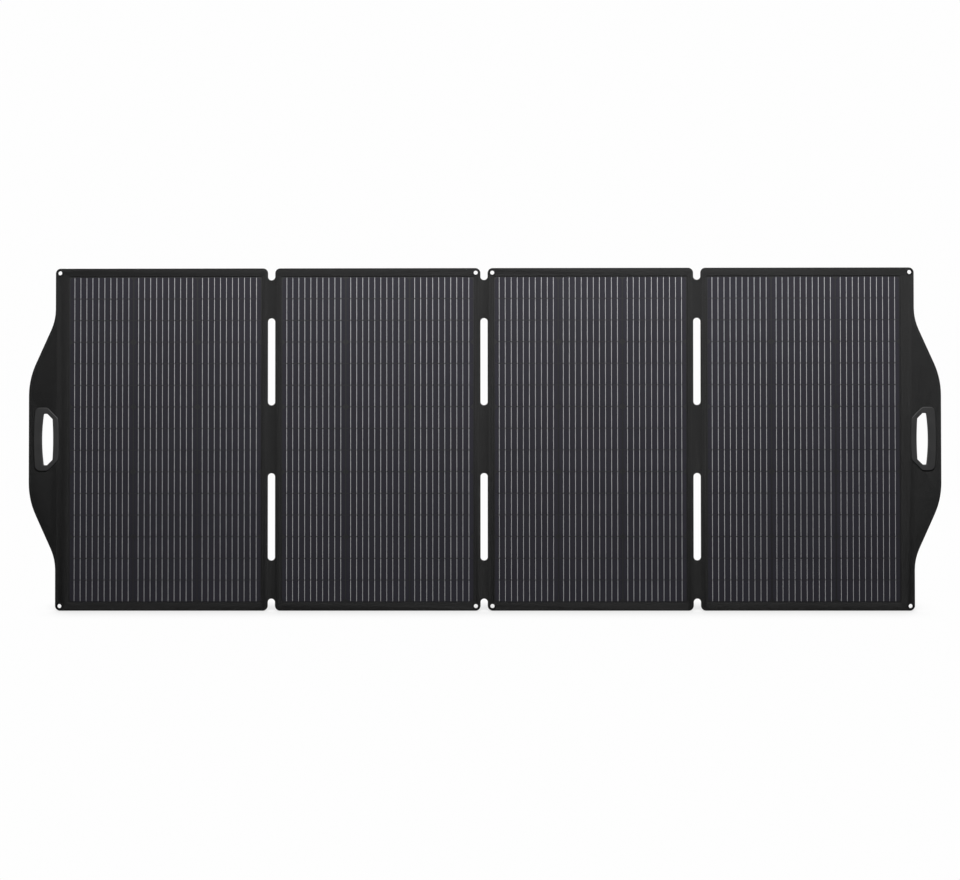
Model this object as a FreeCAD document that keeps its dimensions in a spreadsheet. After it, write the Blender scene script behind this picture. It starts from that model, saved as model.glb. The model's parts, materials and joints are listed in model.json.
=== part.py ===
"""Four-panel folding solar mat with carrying handles and two rear stands, in millimetres.

Every piece is drawn in the mat's own frame: X runs from the centre fold to the right, Y from the
front of the fabric to the back, and Z from the bottom hem up the mat. A placement then leans the
whole mat back and stands it on the ground. The legs are drawn about their own hinge pins.
"""
import FreeCAD, Part
import math
import os
import Sketcher

SIZES = [
    ("lean", 15, "degrees that the mat leans back from upright"),
    ("depth_shift", -175.65, "moves the ground rectangle's middle to the origin"),
    ("mat_height", 993, "bottom hem to top hem, along the mat"),
    ("mat_thick", 5, "front cover to back cover"),
    ("cover_thick", 1.2, "one layer of coated fabric"),
    ("fold_pitch", 617, "centre fold to each outer fold"),
    ("fold_gap", 10.75, "fold line to the edge of a panel"),
    ("outer_edge", 1245, "centre fold to the straight outer edge"),
    ("corner_round", 14.5, "radius at the corners of each panel"),
    ("wing_reach", 77.5, "how far a handle wing stands out"),
    ("wing_shoulder", 175, "mid-height to the wing's outer corner, before rounding"),
    ("wing_root", 347, "mid-height to the wing's inner corner, before rounding"),
    ("shoulder_round", 224, "radius at the wing's outer corners"),
    ("root_round", 150, "radius at the wing's inner corners"),
    ("notch_depth", 34.5, "end of each fold to its first web"),
    ("slot_near", 98.5, "mid-height to the near end of a slot"),
    ("slot_far", 351.5, "mid-height to the far end of a slot"),
    ("web_layer", 1.1, "one layer of a fold web"),
    ("link_thick", 0.3, "flat copper conductor"),
    ("link_width", 14, "flat copper conductor"),
    ("link_spread", 40, "mid-height to the middle of a conductor"),
    ("link_play", 0.2, "clearance round a conductor in its channel"),
    ("cell_width", 182, "one wafer across"),
    ("cell_pitch", 185.8, "column to column"),
    ("third_height", 60.67, "a wafer cut in three"),
    ("third_pitch", 62.8, "row to row"),
    ("wafer_chamfer", 7.5, "cut corner of a whole wafer"),
    ("cell_thick", 0.4, "silicon"),
    ("fold_margin", 31.7, "fold line to the first cell"),
    ("ribbon_pitch", 17.46, "ribbon to ribbon"),
    ("ribbon_width", 1.5, "tinned ribbon"),
    ("ribbon_thick", 0.2, "tinned ribbon"),
    ("film_thick", 0.4, "clear front film"),
    ("window_margin", 3, "cells to the edge of the fabric window"),
    ("film_margin", 8, "film under the fabric"),
    ("film_chamfer", 14, "cut corner of the laminate"),
    ("window_round", 4, "radius at the window's corners"),
    ("eyelet_bore", 6, "radius of the hole"),
    ("eyelet_barrel", 7.2, "outside radius of the barrel"),
    ("eyelet_flange", 9.5, "outside radius of the flange"),
    ("eyelet_hole", 7.3, "radius of the hole punched in the fabric"),
    ("eyelet_proud", 0.8, "flange thickness"),
    ("eyelet_up", 13, "hem to the eyelet's centre"),
    ("eyelet_out", 12.5, "outer edge to the eyelet's centre"),
    ("eyelet_fold", 24, "centre fold to the eyelet's centre"),
    ("hole_inner", 1253.4, "centre fold to the hand hole's inner corners"),
    ("hole_belly", 1250.2, "centre fold to the peak of its inner side, before rounding"),
    ("hole_outer", 1279.5, "centre fold to the hand hole's outer corners"),
    ("hole_bow", 1288.9, "centre fold to the peak of its outer side, before rounding"),
    ("hole_half", 74.5, "half the hand hole's height"),
    ("hole_cut", 15.5, "cut corner of the hand hole"),
    ("hole_round", 3, "radius at the hand hole's corners"),
    ("hole_curve", 540, "radius of the hand hole's outer side"),
    ("belly_curve", 930, "radius of the inner sides of the hand hole and the grip ring"),
    ("lip", 2, "wall that lines the hand hole"),
    ("ring_inner", 1237, "centre fold to the grip ring's inner corners"),
    ("ring_belly", 1233.4, "centre fold to the peak of its inner side, before rounding"),
    ("ring_outer", 1304, "centre fold to the grip ring's outer corners"),
    ("ring_bow", 1311.6, "centre fold to the peak of its outer side, before rounding"),
    ("ring_half", 92.5, "half the grip ring's height"),
    ("ring_cut", 31, "cut corner of the grip ring"),
    ("ring_round", 16, "radius at the grip ring's outer corners"),
    ("ring_soft", 14, "radius at the ends of the ring's cut corners"),
    ("ring_curve", 900, "radius of the grip ring's outer side"),
    ("ring_proud", 3.5, "how far a grip ring stands off the fabric"),
    ("ring_edge", 2.8, "rounded edge of a grip ring"),
    ("opening", 25, "degrees between a leg and the mat"),
    ("leg_side", 931, "centre fold to the middle of a leg"),
    ("pin_up", 780, "bottom hem to the hinge pin"),
    ("pin_back", 9.5, "fabric front to the hinge pin"),
    ("pin_size", 2, "radius of the hinge pin"),
    ("knuckle_bore", 2.06, "radius of the hole in a knuckle"),
    ("knuckle_size", 4, "outside radius of a knuckle"),
    ("leaf_thick", 1.5, "hinge plate"),
    ("leaf_half", 60, "half the hinge's width"),
    ("knuckle_half", 34, "half the width of the middle knuckle"),
    ("knuckle_play", 0.4, "gap between knuckles"),
    ("leaf_gap", 1, "knuckle to the edge of a hinge plate"),
    ("leaf_reach", 40, "hinge pin to the far edge of a hinge plate"),
    ("leaf_root", 2.5, "hinge pin to the end of the leaf's tab"),
    ("tab_drop", 3, "hinge pin to the end of the base's tabs"),
    ("head_length", 2, "riveted head of the hinge pin"),
    ("head_collar", 1.2, "how far the head stands out round the pin"),
    ("overrun", 1, "how far a drilled bore starts outside its knuckle"),
    ("leg_top", 88, "half the leg's width at the hinge"),
    ("leg_foot", 130, "half the leg's width at the foot"),
    ("leg_thick", 5, "leg board"),
    ("leg_round", 12, "radius at the leg's upper corners"),
    ("leg_start", 8, "hinge pin to the top of the leg board"),
    ("boot_height", 30, "rubber foot"),
    ("boot_wall", 2.5, "rubber foot"),
    ("boot_sole", 10, "rubber under the end of the leg board"),
    ("boot_side", 1, "rubber beside the leg board"),
    ("strap_low", 600, "hinge pin to the strap's seam on the mat"),
    ("strap_leg", 520, "hinge pin to the strap's seam on the leg"),
    ("strap_tab", 35, "length sewn down at each end"),
    ("strap_width", 25, "webbing"),
    ("strap_thick", 1.5, "webbing"),
    ("box_left", 1100, "centre fold to the junction box"),
    ("box_width", 100, "junction box"),
    ("box_low", 850, "bottom hem to the junction box"),
    ("box_height", 76, "junction box"),
    ("box_depth", 16, "junction box tray"),
    ("box_wall", 2.5, "junction box walls"),
    ("seal_thick", 1, "rubber seal"),
    ("lid_thick", 3, "junction box lid"),
    ("boss_size", 5.2, "radius of a screw boss"),
    ("boss_in", 7, "outside of the box to a screw"),
    ("box_round", 5, "radius at the box's corners"),
    ("screw_play", 0.05, "clearance round a screw"),
    ("screw_grip", 8, "length of a screw in its boss"),
    ("screw_bite", 0.5, "shank inside the head"),
    ("tap_depth", 9, "screw hole in a boss"),
    ("head_thick", 1.8, "screw head"),
    ("circuit_side", 14, "side of the box to the circuit board"),
    ("circuit_end", 12, "end of the box to the circuit board"),
    ("circuit_lift", 5, "mat's back to the circuit board"),
    ("circuit_thick", 1.6, "circuit board"),
    ("diode_first", 24, "side of the box to the first diode"),
    ("diode_pitch", 20, "diode to diode"),
    ("diode_width", 9, "bypass diode"),
    ("diode_low", 30, "end of the box to the diodes"),
    ("diode_length", 20, "bypass diode"),
    ("diode_thick", 4.4, "bypass diode above its board"),
    ("screw_shank", 1.5, "radius"),
    ("screw_head", 3, "radius"),
    ("socket_size", 7, "outside radius of the output socket"),
    ("socket_bore", 4.5, "radius of the output socket's mouth"),
    ("socket_length", 20, "output socket"),
    ("socket_set", 1, "middle of the tray's depth to the socket's axis"),
    ("socket_floor", 4, "closed end of the socket"),
    ("contact_size", 1.2, "radius of the contact pin"),
    ("contact_in", 4, "mouth of the socket to the tip of its pin"),
    ("contact_root", 2, "pin inside the closed end"),
]

doc = FreeCAD.newDocument("solar_mat")
sheet = doc.addObject("Spreadsheet::Sheet", "Sizes")
for row, (alias, value, note) in enumerate(SIZES, start=1):
    sheet.set("A%d" % row, str(value))
    sheet.set("B%d" % row, note)
    sheet.setAlias("A%d" % row, alias)
doc.recompute()


def cell(words):
    """Point every bare size name in an expression at the spreadsheet."""
    names = sorted((alias for alias, value, note in SIZES), key=len, reverse=True)
    out = ""
    word = ""
    for letter in words + " ":
        if letter.isalnum() or letter == "_":
            word += letter
            continue
        out += "Sizes." + word if word in names else word
        out += letter
        word = ""
    return out.strip()


def value(words):
    """The number that an expression gives now."""
    return float(sheet.evalExpression(cell(words)))


def lean_back(thing):
    """Lean a piece back with the mat and stand it on the ground."""
    thing.Placement = FreeCAD.Placement(FreeCAD.Vector(), FreeCAD.Rotation(FreeCAD.Vector(-1, 0, 0), 1))
    thing.setExpression("Placement.Rotation.Angle", cell("lean"))
    thing.setExpression("Placement.Base.y", cell("depth_shift"))
    thing.setExpression("Placement.Base.z", cell("mat_thick * sin(lean * 1deg)"))


def on_leg(thing):
    """Turn a piece drawn about its hinge pin out to the leg's place."""
    thing.Placement = FreeCAD.Placement(FreeCAD.Vector(), FreeCAD.Rotation(FreeCAD.Vector(1, 0, 0), 1))
    back = "depth_shift + pin_back * cos(lean * 1deg) + pin_up * sin(lean * 1deg)"
    up = "(mat_thick - pin_back) * sin(lean * 1deg) + pin_up * cos(lean * 1deg)"
    thing.setExpression("Placement.Rotation.Angle", cell("opening - lean"))
    thing.setExpression("Placement.Base.y", cell(back))
    thing.setExpression("Placement.Base.z", cell(up))


def new_body(name, place=lean_back):
    body = doc.addObject("PartDesign::Body", name)
    body.Label = name
    body.AllowCompound = True
    place(body)
    return body


def origin_part(body, role):
    return [part for part in body.Origin.OriginFeatures if part.Role == role][0]


def new_sketch(body, name, offset, role="XZ_Plane"):
    """A sketch on one of the body's own planes, moved along its normal by an expression."""
    sketch = body.newObject("Sketcher::SketchObject", body.Name + "_" + name)
    sketch.AttachmentSupport = (origin_part(body, role), [""])
    sketch.MapMode = "FlatFace"
    sketch.setExpression("AttachmentOffset.Base.z", cell(offset))
    return sketch


def draw_outline(sketch, corners):
    """Draw a closed outline of straight lines whose corners stay bound to the spreadsheet."""
    points = [FreeCAD.Vector(value(across), value(up), 0) for across, up in corners]
    first = sketch.GeometryCount
    count = len(points)
    for i in range(count):
        sketch.addGeometry(Part.LineSegment(points[i], points[(i + 1) % count]))
    for i in range(count):
        sketch.addConstraint(Sketcher.Constraint("Coincident", first + i, 2, first + (i + 1) % count, 1))
    for i, (across, up) in enumerate(corners):
        bound = (("DistanceX", across, points[i].x), ("DistanceY", up, points[i].y))
        for kind, words, now in bound:
            index = sketch.addConstraint(Sketcher.Constraint(kind, -1, 1, first + i, 1, now))
            sketch.setExpression("Constraints[%d]" % index, cell(words))


def draw_circle(sketch, across, up, radius):
    centre = FreeCAD.Vector(value(across), value(up), 0)
    index = sketch.addGeometry(Part.Circle(centre, FreeCAD.Vector(0, 0, 1), value(radius)))
    bound = (
        ("DistanceX", across, (-1, 1, index, 3, centre.x)),
        ("DistanceY", up, (-1, 1, index, 3, centre.y)),
        ("Radius", radius, (index, value(radius))),
    )
    for kind, words, where in bound:
        limit = sketch.addConstraint(Sketcher.Constraint(kind, *where))
        sketch.setExpression("Constraints[%d]" % limit, cell(words))


def add_pad(body, name, front, back, outlines=(), circles=()):
    """Pad a sketch of outlines and circles from depth front to depth back."""
    sketch = new_sketch(body, name + "_outline", "-(%s)" % back)
    for corners in outlines:
        draw_outline(sketch, corners)
    for circle in circles:
        draw_circle(sketch, *circle)
    pad = body.newObject("PartDesign::Pad", body.Name + "_" + name)
    pad.Profile = sketch
    pad.setExpression("Length", cell("(%s) - (%s)" % (back, front)))
    doc.recompute()
    return pad


def add_side_pad(body, name, left, right, outlines=(), circles=()):
    """Pad a sketch drawn in the depth and height plane, from X left to X right."""
    sketch = new_sketch(body, name + "_profile", left, "YZ_Plane")
    for corners in outlines:
        draw_outline(sketch, corners)
    for circle in circles:
        draw_circle(sketch, *circle)
    pad = body.newObject("PartDesign::Pad", body.Name + "_" + name)
    pad.Profile = sketch
    pad.setExpression("Length", cell("(%s) - (%s)" % (right, left)))
    doc.recompute()
    return pad


def box_cut(body, name, low, size):
    """Cut a box out of a body, its low corner and its size given as expressions."""
    box = body.newObject("PartDesign::SubtractiveBox", body.Name + "_" + name)
    for side, words in zip(("Length", "Width", "Height"), size):
        box.setExpression(side, cell(words))
    for axis, words in zip("xyz", low):
        box.setExpression("AttachmentOffset.Base." + axis, cell(words))
    box.AttachmentSupport = (origin_part(body, "XY_Plane"), [""])
    box.MapMode = "FlatFace"
    doc.recompute()
    return box


def round_corners(body, name, corners, radius):
    """Round the edges that run through the body's depth at the given corners."""
    base = body.Tip
    chosen = []
    for across, up in corners:
        x = value(across)
        z = value(up)
        for index, edge in enumerate(base.Shape.Edges, start=1):
            ends = [vertex.Point for vertex in edge.Vertexes]
            if len(ends) == 2 and all(math.hypot(end.x - x, end.z - z) < 0.01 for end in ends):
                chosen.append("Edge%d" % index)
    if len(chosen) < len(corners):
        raise RuntimeError("%s: %d edges for %d corners" % (body.Label, len(chosen), len(corners)))
    fillet = body.newObject("PartDesign::Fillet", body.Name + "_" + name)
    fillet.Base = (base, chosen)
    fillet.setExpression("Radius", cell(radius))
    doc.recompute()
    return fillet


def soften_face(body, name, depth, radius):
    """Round every edge of the flat face at a given depth."""
    base = body.Tip
    level = value(depth)
    chosen = []
    for index, edge in enumerate(base.Shape.Edges, start=1):
        box = edge.BoundBox
        if abs(box.YMin - level) < 0.01 and abs(box.YMax - level) < 0.01:
            chosen.append("Edge%d" % index)
    fillet = body.newObject("PartDesign::Fillet", body.Name + "_" + name)
    fillet.Base = (base, chosen)
    fillet.setExpression("Radius", cell(radius))
    doc.recompute()
    return fillet


def rectangle(left, low, right, high):
    return [(left, low), (right, low), (right, high), (left, high)]


def cut_rectangle(left, low, right, high, cut, inward):
    """A rectangle with its four corners cut; inward is the sign that leads from left to right."""
    near = "(%s) + %s * (%s)" % (left, inward, cut)
    far = "(%s) - %s * (%s)" % (right, inward, cut)
    over = "(%s) + (%s)" % (low, cut)
    under = "(%s) - (%s)" % (high, cut)
    return [(near, low), (far, low), (right, over), (right, under),
            (far, high), (near, high), (left, under), (left, over)]


RIBBONS = 10
COLUMNS = 3
WAFERS = 5
MIDDLE = "mat_height / 2"
BACK = "mat_thick"
# How each panel lies: its sign, then its inner and outer sides.
PANELS = {
    1: (-1, "fold_pitch + fold_gap", "outer_edge"),
    2: (-1, "fold_gap", "fold_pitch - fold_gap"),
    3: (1, "fold_gap", "fold_pitch - fold_gap"),
    4: (1, "fold_pitch + fold_gap", "outer_edge"),
}


def side_of(number):
    return PANELS[number][0]


def mirrored(side, words):
    return "%d * (%s)" % (side, words)


def first_cell(number):
    return "fold_pitch + fold_margin" if number in (1, 4) else "fold_margin"


def cell_block(number):
    """The panel's block of cells, inner side to outer side."""
    start = first_cell(number)
    return start, "%s + %d * cell_pitch + cell_width" % (start, COLUMNS - 1)


def cell_floor():
    return "(mat_height - %d * third_pitch - third_height) / 2" % (3 * WAFERS - 1)


def eyelet_places(number):
    side = side_of(number)
    across = "outer_edge - eyelet_out" if number in (1, 4) else "eyelet_fold"
    return [(mirrored(side, across), "eyelet_up"), (mirrored(side, across), "mat_height - eyelet_up")]


def eyelet_circles(number, radius):
    return [(across, up, radius) for across, up in eyelet_places(number)]


def panel_outline(number):
    """The outline of a panel, with its handle wing on panels 1 and 4."""
    side, inner, outer = PANELS[number]
    corners = [(inner, "0"), (outer, "0")]
    if number in (1, 4):
        tip = outer + " + wing_reach"
        corners += [(outer, MIDDLE + " - wing_root"), (tip, MIDDLE + " - wing_shoulder"),
                    (tip, MIDDLE + " + wing_shoulder"), (outer, MIDDLE + " + wing_root")]
    corners += [(outer, "mat_height"), (inner, "mat_height")]
    return [(mirrored(side, across), up) for across, up in corners]


def round_panel(body, number):
    """Round a panel's four corners and, on panels 1 and 4, the curves of its wing."""
    corners = panel_outline(number)
    round_corners(body, "corners", [corners[0], corners[1], corners[-2], corners[-1]], "corner_round")
    if number in (1, 4):
        round_corners(body, "roots", [corners[2], corners[5]], "root_round")
        round_corners(body, "shoulders", [corners[3], corners[4]], "shoulder_round")


def grip_outline(side, kind, grow="0"):
    """The hand hole or the grip ring: cut corners inside, and sides that peak at mid-height."""
    inner = "%s_inner - (%s)" % (kind, grow)
    belly = "%s_belly - (%s)" % (kind, grow)
    outer = "%s_outer + (%s)" % (kind, grow)
    bow = "%s_bow + (%s)" % (kind, grow)
    half = "(%s_half + (%s))" % (kind, grow)
    cut = kind + "_cut"
    corners = [
        (inner, MIDDLE + " - %s + %s" % (half, cut)),
        (inner + " + " + cut, MIDDLE + " - " + half),
        (outer, MIDDLE + " - " + half),
        (bow, MIDDLE),
        (outer, MIDDLE + " + " + half),
        (inner + " + " + cut, MIDDLE + " + " + half),
        (inner, MIDDLE + " + %s - %s" % (half, cut)),
        (belly, MIDDLE),
    ]
    return [(mirrored(side, across), up) for across, up in corners]


def round_grip(body, hole, ring):
    """Turn the peaks of the hand hole and the grip ring into long curves and round their corners."""
    round_corners(body, "hole_side", [hole[3]], "hole_curve")
    round_corners(body, "ring_side", [ring[3]], "ring_curve")
    round_corners(body, "bellies", [hole[7], ring[7]], "belly_curve")
    round_corners(body, "turns", [ring[2], ring[4]], "ring_round")
    round_corners(body, "cuts", [ring[0], ring[1], ring[5], ring[6]], "ring_soft")
    round_corners(body, "hole_turns", [hole[i] for i in (0, 1, 2, 4, 5, 6)], "hole_round")


def make_front_cover(number):
    side = side_of(number)
    start, end = cell_block(number)
    window = rectangle(mirrored(side, start + " - window_margin"), cell_floor() + " - window_margin",
                       mirrored(side, end + " + window_margin"),
                       "mat_height - %s + window_margin" % cell_floor())
    outlines = [panel_outline(number), window]
    if number in (1, 4):
        outlines.append(grip_outline(side, "hole", "lip"))
    body = new_body("panel_%d_front_cover" % number)
    add_pad(body, "sheet", "0", "cover_thick", outlines, eyelet_circles(number, "eyelet_hole"))
    round_panel(body, number)
    round_corners(body, "window", window, "window_round")


def make_back_cover(number):
    outlines = [panel_outline(number)]
    if number in (1, 4):
        outlines.append(grip_outline(side_of(number), "hole", "lip"))
    body = new_body("panel_%d_back_cover" % number)
    add_pad(body, "sheet", BACK + " - cover_thick", BACK, outlines, eyelet_circles(number, "eyelet_hole"))
    round_panel(body, number)


def laminate_outline(number):
    side = side_of(number)
    start, end = cell_block(number)
    reach = "window_margin + film_margin"
    return cut_rectangle(mirrored(side, "%s - (%s)" % (start, reach)), "%s - (%s)" % (cell_floor(), reach),
                         mirrored(side, "%s + (%s)" % (end, reach)),
                         "mat_height - %s + (%s)" % (cell_floor(), reach), "film_chamfer", side)


def make_edge_band(number):
    """The stiff band between the covers, round the laminate and out through the wing."""
    side, inner, outer = PANELS[number]
    outlines = [panel_outline(number), laminate_outline(number)]
    if number in (1, 4):
        outlines.append(grip_outline(side, "hole", "lip"))
    body = new_body("panel_%d_edge_band" % number)
    add_pad(body, "frame", "cover_thick", BACK + " - cover_thick", outlines,
            eyelet_circles(number, "eyelet_hole"))
    round_panel(body, number)
    start, end = cell_block(number)
    reach = "(%s - window_margin - film_margin - (%s))" % (start, inner)
    channels = [(inner, reach)]
    if number in (2, 3):
        far = "%s + window_margin + film_margin" % end
        channels.append((far, "(%s) - (%s)" % (outer, far)))
    for place, (from_x, length) in enumerate(channels):
        left = mirrored(side, from_x) if side > 0 else "-1 * (%s) - (%s)" % (from_x, length)
        for row in (-1, 1):
            low = (left, "%s / 2 - link_thick" % BACK,
                   "%s + %d * link_spread - link_width / 2 - link_play" % (MIDDLE, row))
            name = "channel_%d%s" % (place, "a" if row < 0 else "b")
            box_cut(body, name, low, (length, "2 * link_thick", "link_width + 2 * link_play"))


def make_laminate(number):
    side = side_of(number)
    board = new_body("panel_%d_board" % number)
    front = "cover_thick + film_thick + ribbon_thick + cell_thick"
    add_pad(board, "sheet", front, BACK + " - cover_thick", [laminate_outline(number)])
    film = new_body("panel_%d_film" % number)
    add_pad(film, "sheet", "cover_thick", "cover_thick + film_thick", [laminate_outline(number)])


def add_grid(body, pad, first, second):
    """Repeat a pad in two directions, each given as an axis, a count and a spacing."""
    pattern = body.newObject("PartDesign::LinearPattern", body.Name + "_grid")
    pattern.Originals = [pad]
    pattern.Direction = (origin_part(body, first[0]), [""])
    pattern.Direction2 = (origin_part(body, second[0]), [""])
    pattern.Occurrences = first[1]
    pattern.Occurrences2 = second[1]
    pattern.setExpression("Length", cell("%d * (%s)" % (first[1] - 1, first[2])))
    pattern.setExpression("Length2", cell("%d * (%s)" % (second[1] - 1, second[2])))
    body.Tip = pattern
    doc.recompute()
    return pattern


def make_cells(number):
    """Wafers cut in three, five wafers high and three across; only a whole wafer's corners are cut."""
    side = side_of(number)
    start, end = cell_block(number)
    left = mirrored(side, start if side > 0 else end)
    right = "(%s) + cell_width" % left
    floor = cell_floor()
    thirds = []
    for third in range(3):
        low = "%s + %d * third_pitch" % (floor, third)
        high = low + " + third_height"
        if third == 0:
            corners = [("(%s) + wafer_chamfer" % left, low), (right + " - wafer_chamfer", low),
                       (right, low + " + wafer_chamfer"), (right, high), (left, high),
                       (left, low + " + wafer_chamfer")]
        elif third == 1:
            corners = rectangle(left, low, right, high)
        else:
            corners = [(left, low), (right, low), (right, high + " - wafer_chamfer"),
                       (right + " - wafer_chamfer", high), ("(%s) + wafer_chamfer" % left, high),
                       (left, high + " - wafer_chamfer")]
        thirds.append(corners)
    body = new_body("panel_%d_cells" % number)
    front = "cover_thick + film_thick + ribbon_thick"
    pad = add_pad(body, "wafer", front, front + " + cell_thick", thirds)
    add_grid(body, pad, ("X_Axis", COLUMNS, "cell_pitch"), ("Z_Axis", WAFERS, "3 * third_pitch"))


def make_ribbons(number):
    side = side_of(number)
    start, end = cell_block(number)
    edge = mirrored(side, start if side > 0 else end)
    middle = "(%s) + cell_width / 2 - %d / 2 * ribbon_pitch" % (edge, RIBBONS - 1)
    strip = rectangle(middle + " - ribbon_width / 2", cell_floor(),
                      middle + " + ribbon_width / 2", "mat_height - " + cell_floor())
    body = new_body("panel_%d_ribbons" % number)
    front = "cover_thick + film_thick"
    pad = add_pad(body, "ribbon", front, front + " + ribbon_thick", [strip])
    add_grid(body, pad, ("X_Axis", RIBBONS, "ribbon_pitch"), ("X_Axis", COLUMNS, "cell_pitch"))


def make_eyelets(number):
    """Two eyelets, each a flanged barrel and the washer that it is clinched over."""
    body = new_body("panel_%d_eyelets" % number)
    bores = eyelet_circles(number, "eyelet_bore")
    add_pad(body, "flanges", "-eyelet_proud", "0", (), bores + eyelet_circles(number, "eyelet_flange"))
    add_pad(body, "barrels", "0", BACK + " + eyelet_proud", (),
            bores + eyelet_circles(number, "eyelet_barrel"))
    add_pad(body, "washers", BACK, BACK + " + eyelet_proud", (),
            eyelet_circles(number, "eyelet_hole") + eyelet_circles(number, "eyelet_flange"))


def make_handle(name, side):
    """Two grip rings that clamp the wing round the hand hole; the front one lines the hole."""
    hole = grip_outline(side, "hole")
    ring = grip_outline(side, "ring")
    lined = grip_outline(side, "hole", "lip")

    front = new_body("handle_%s_front_ring" % name)
    add_pad(front, "grip", "-ring_proud", "0", [ring, hole])
    add_pad(front, "lining", "0", BACK, [lined, hole])
    round_grip(front, hole, ring)
    soften_face(front, "edge", "-ring_proud", "ring_edge")
    back = new_body("handle_%s_back_ring" % name)
    add_pad(back, "grip", BACK, BACK + " + ring_proud", [ring, hole])
    round_grip(back, hole, ring)
    soften_face(back, "edge", BACK + " + ring_proud", "ring_edge")


def make_fold(name, place):
    """The webs that join two panels, two layers each, and the flat conductors inside the middle one."""
    left = "%s - fold_gap" % place
    right = "%s + fold_gap" % place
    webs = [
        rectangle(left, "notch_depth", right, MIDDLE + " - slot_far"),
        rectangle(left, MIDDLE + " - slot_near", right, MIDDLE + " + slot_near"),
        rectangle(left, MIDDLE + " + slot_far", right, "mat_height - notch_depth"),
    ]
    body = new_body("fold_%s_webs" % name)
    add_pad(body, "front_layer", "cover_thick", "cover_thick + web_layer", webs)
    add_pad(body, "back_layer", BACK + " - cover_thick - web_layer", BACK + " - cover_thick", webs)
    links = new_body("fold_%s_conductors" % name)
    reach = "(fold_margin - window_margin - film_margin)"
    strips = []
    for row in (-1, 1):
        centre = MIDDLE + " + %d * link_spread" % row
        strips.append(rectangle("%s - %s" % (place, reach), centre + " - link_width / 2",
                                "%s + %s" % (place, reach), centre + " + link_width / 2"))
    add_pad(links, "strips", "(%s - link_thick) / 2" % BACK, "(%s + link_thick) / 2" % BACK, strips)


def drill_knuckle(body, centre, half, depth, up):
    """Drill the pin's bore right through a row of knuckles."""
    bore = new_sketch(body, "bore_outline", "%s - %s - overrun" % (centre, half), "YZ_Plane")
    draw_circle(bore, depth, up, "knuckle_bore")
    hole = body.newObject("PartDesign::Pocket", body.Name + "_bore")
    hole.Profile = bore
    hole.Reversed = True
    hole.setExpression("Length", cell("2 * (%s + overrun)" % half))
    doc.recompute()


def make_stand(name, side):
    """A leg hinged high on an outer panel's back, its rubber foot and the strap that limits it."""
    centre = mirrored(side, "leg_side")
    base = new_body("stand_%s_hinge_base" % name)
    plate = rectangle(centre + " - leaf_half", "pin_up + knuckle_size + leaf_gap",
                      centre + " + leaf_half", "pin_up + leaf_reach")
    add_pad(base, "plate", BACK, BACK + " + leaf_thick", [plate])
    ends = (("near", centre + " - leaf_half", centre + " - knuckle_half - knuckle_play"),
            ("far", centre + " + knuckle_half + knuckle_play", centre + " + leaf_half"))
    for which, left, right in ends:
        add_pad(base, which + "_tab", BACK, BACK + " + leaf_thick",
                [rectangle(left, "pin_up - tab_drop", right, "pin_up + knuckle_size + 2 * leaf_gap")])
        add_side_pad(base, which + "_knuckle", left, right, (),
                     [("pin_back", "pin_up", "knuckle_size")])
    drill_knuckle(base, centre, "leaf_half", "pin_back", "pin_up")

    pin = new_body("stand_%s_hinge_pin" % name)
    add_side_pad(pin, "shank", centre + " - leaf_half", centre + " + leaf_half", (),
                 [("pin_back", "pin_up", "pin_size")])
    add_side_pad(pin, "left_head", centre + " - leaf_half - head_length", centre + " - leaf_half", (),
                 [("pin_back", "pin_up", "pin_size + head_collar")])
    add_side_pad(pin, "right_head", centre + " + leaf_half", centre + " + leaf_half + head_length", (),
                 [("pin_back", "pin_up", "pin_size + head_collar")])

    leaf = new_body("stand_%s_hinge_leaf" % name, on_leg)
    add_pad(leaf, "plate", "-leaf_thick", "0",
            [rectangle(centre + " - leaf_half", "-leaf_reach",
                       centre + " + leaf_half", "-knuckle_size - leaf_gap")])
    add_pad(leaf, "tab", "-leaf_thick", "0",
            [rectangle(centre + " - knuckle_half", "-knuckle_size - 2 * leaf_gap",
                       centre + " + knuckle_half", "-leaf_root")])
    add_side_pad(leaf, "knuckle", centre + " - knuckle_half", centre + " + knuckle_half", (),
                 [("0", "0", "knuckle_size")])
    drill_knuckle(leaf, centre, "knuckle_half", "0", "0")

    drop = "((mat_thick - pin_back) * sin(lean * 1deg) + pin_up * cos(lean * 1deg))"
    turn = "(opening - lean) * 1deg"
    leg_end = "(%s / cos(%s) - boot_sole)" % (drop, turn)
    leg = new_body("stand_%s_leg" % name, on_leg)
    add_pad(leg, "board", "0", "leg_thick",
            [[(centre + " - leg_top", "-leg_start"), (centre + " - leg_foot", "-" + leg_end),
              (centre + " + leg_foot", "-" + leg_end), (centre + " + leg_top", "-leg_start")]])
    round_corners(leg, "shoulders",
                  [(centre + " - leg_top", "-leg_start"), (centre + " + leg_top", "-leg_start")],
                  "leg_round")

    boot = new_body("stand_%s_foot" % name, on_leg)
    near = "-boot_wall"
    far = "leg_thick + boot_wall"
    lip = "-%s + boot_height - boot_sole" % leg_end
    profile = [
        (near, lip), (near, "-(%s + (%s) * sin(%s)) / cos(%s)" % (drop, near, turn, turn)),
        (far, "-(%s + (%s) * sin(%s)) / cos(%s)" % (drop, far, turn, turn)), (far, lip),
        ("leg_thick", lip), ("leg_thick", "-" + leg_end), ("0", "-" + leg_end), ("0", lip),
    ]
    add_side_pad(boot, "channel", centre + " - leg_foot - boot_side", centre + " + leg_foot + boot_side",
                 [profile])

    strap = doc.addObject("Part::Feature", "stand_%s_strap" % name)
    strap.Label = strap.Name
    face = Part.Face(Part.makePolygon(strap_profile(value(centre) - value("strap_width") / 2)))
    strap.Shape = face.extrude(FreeCAD.Vector(value("strap_width"), 0, 0))
    lean_back(strap)


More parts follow.
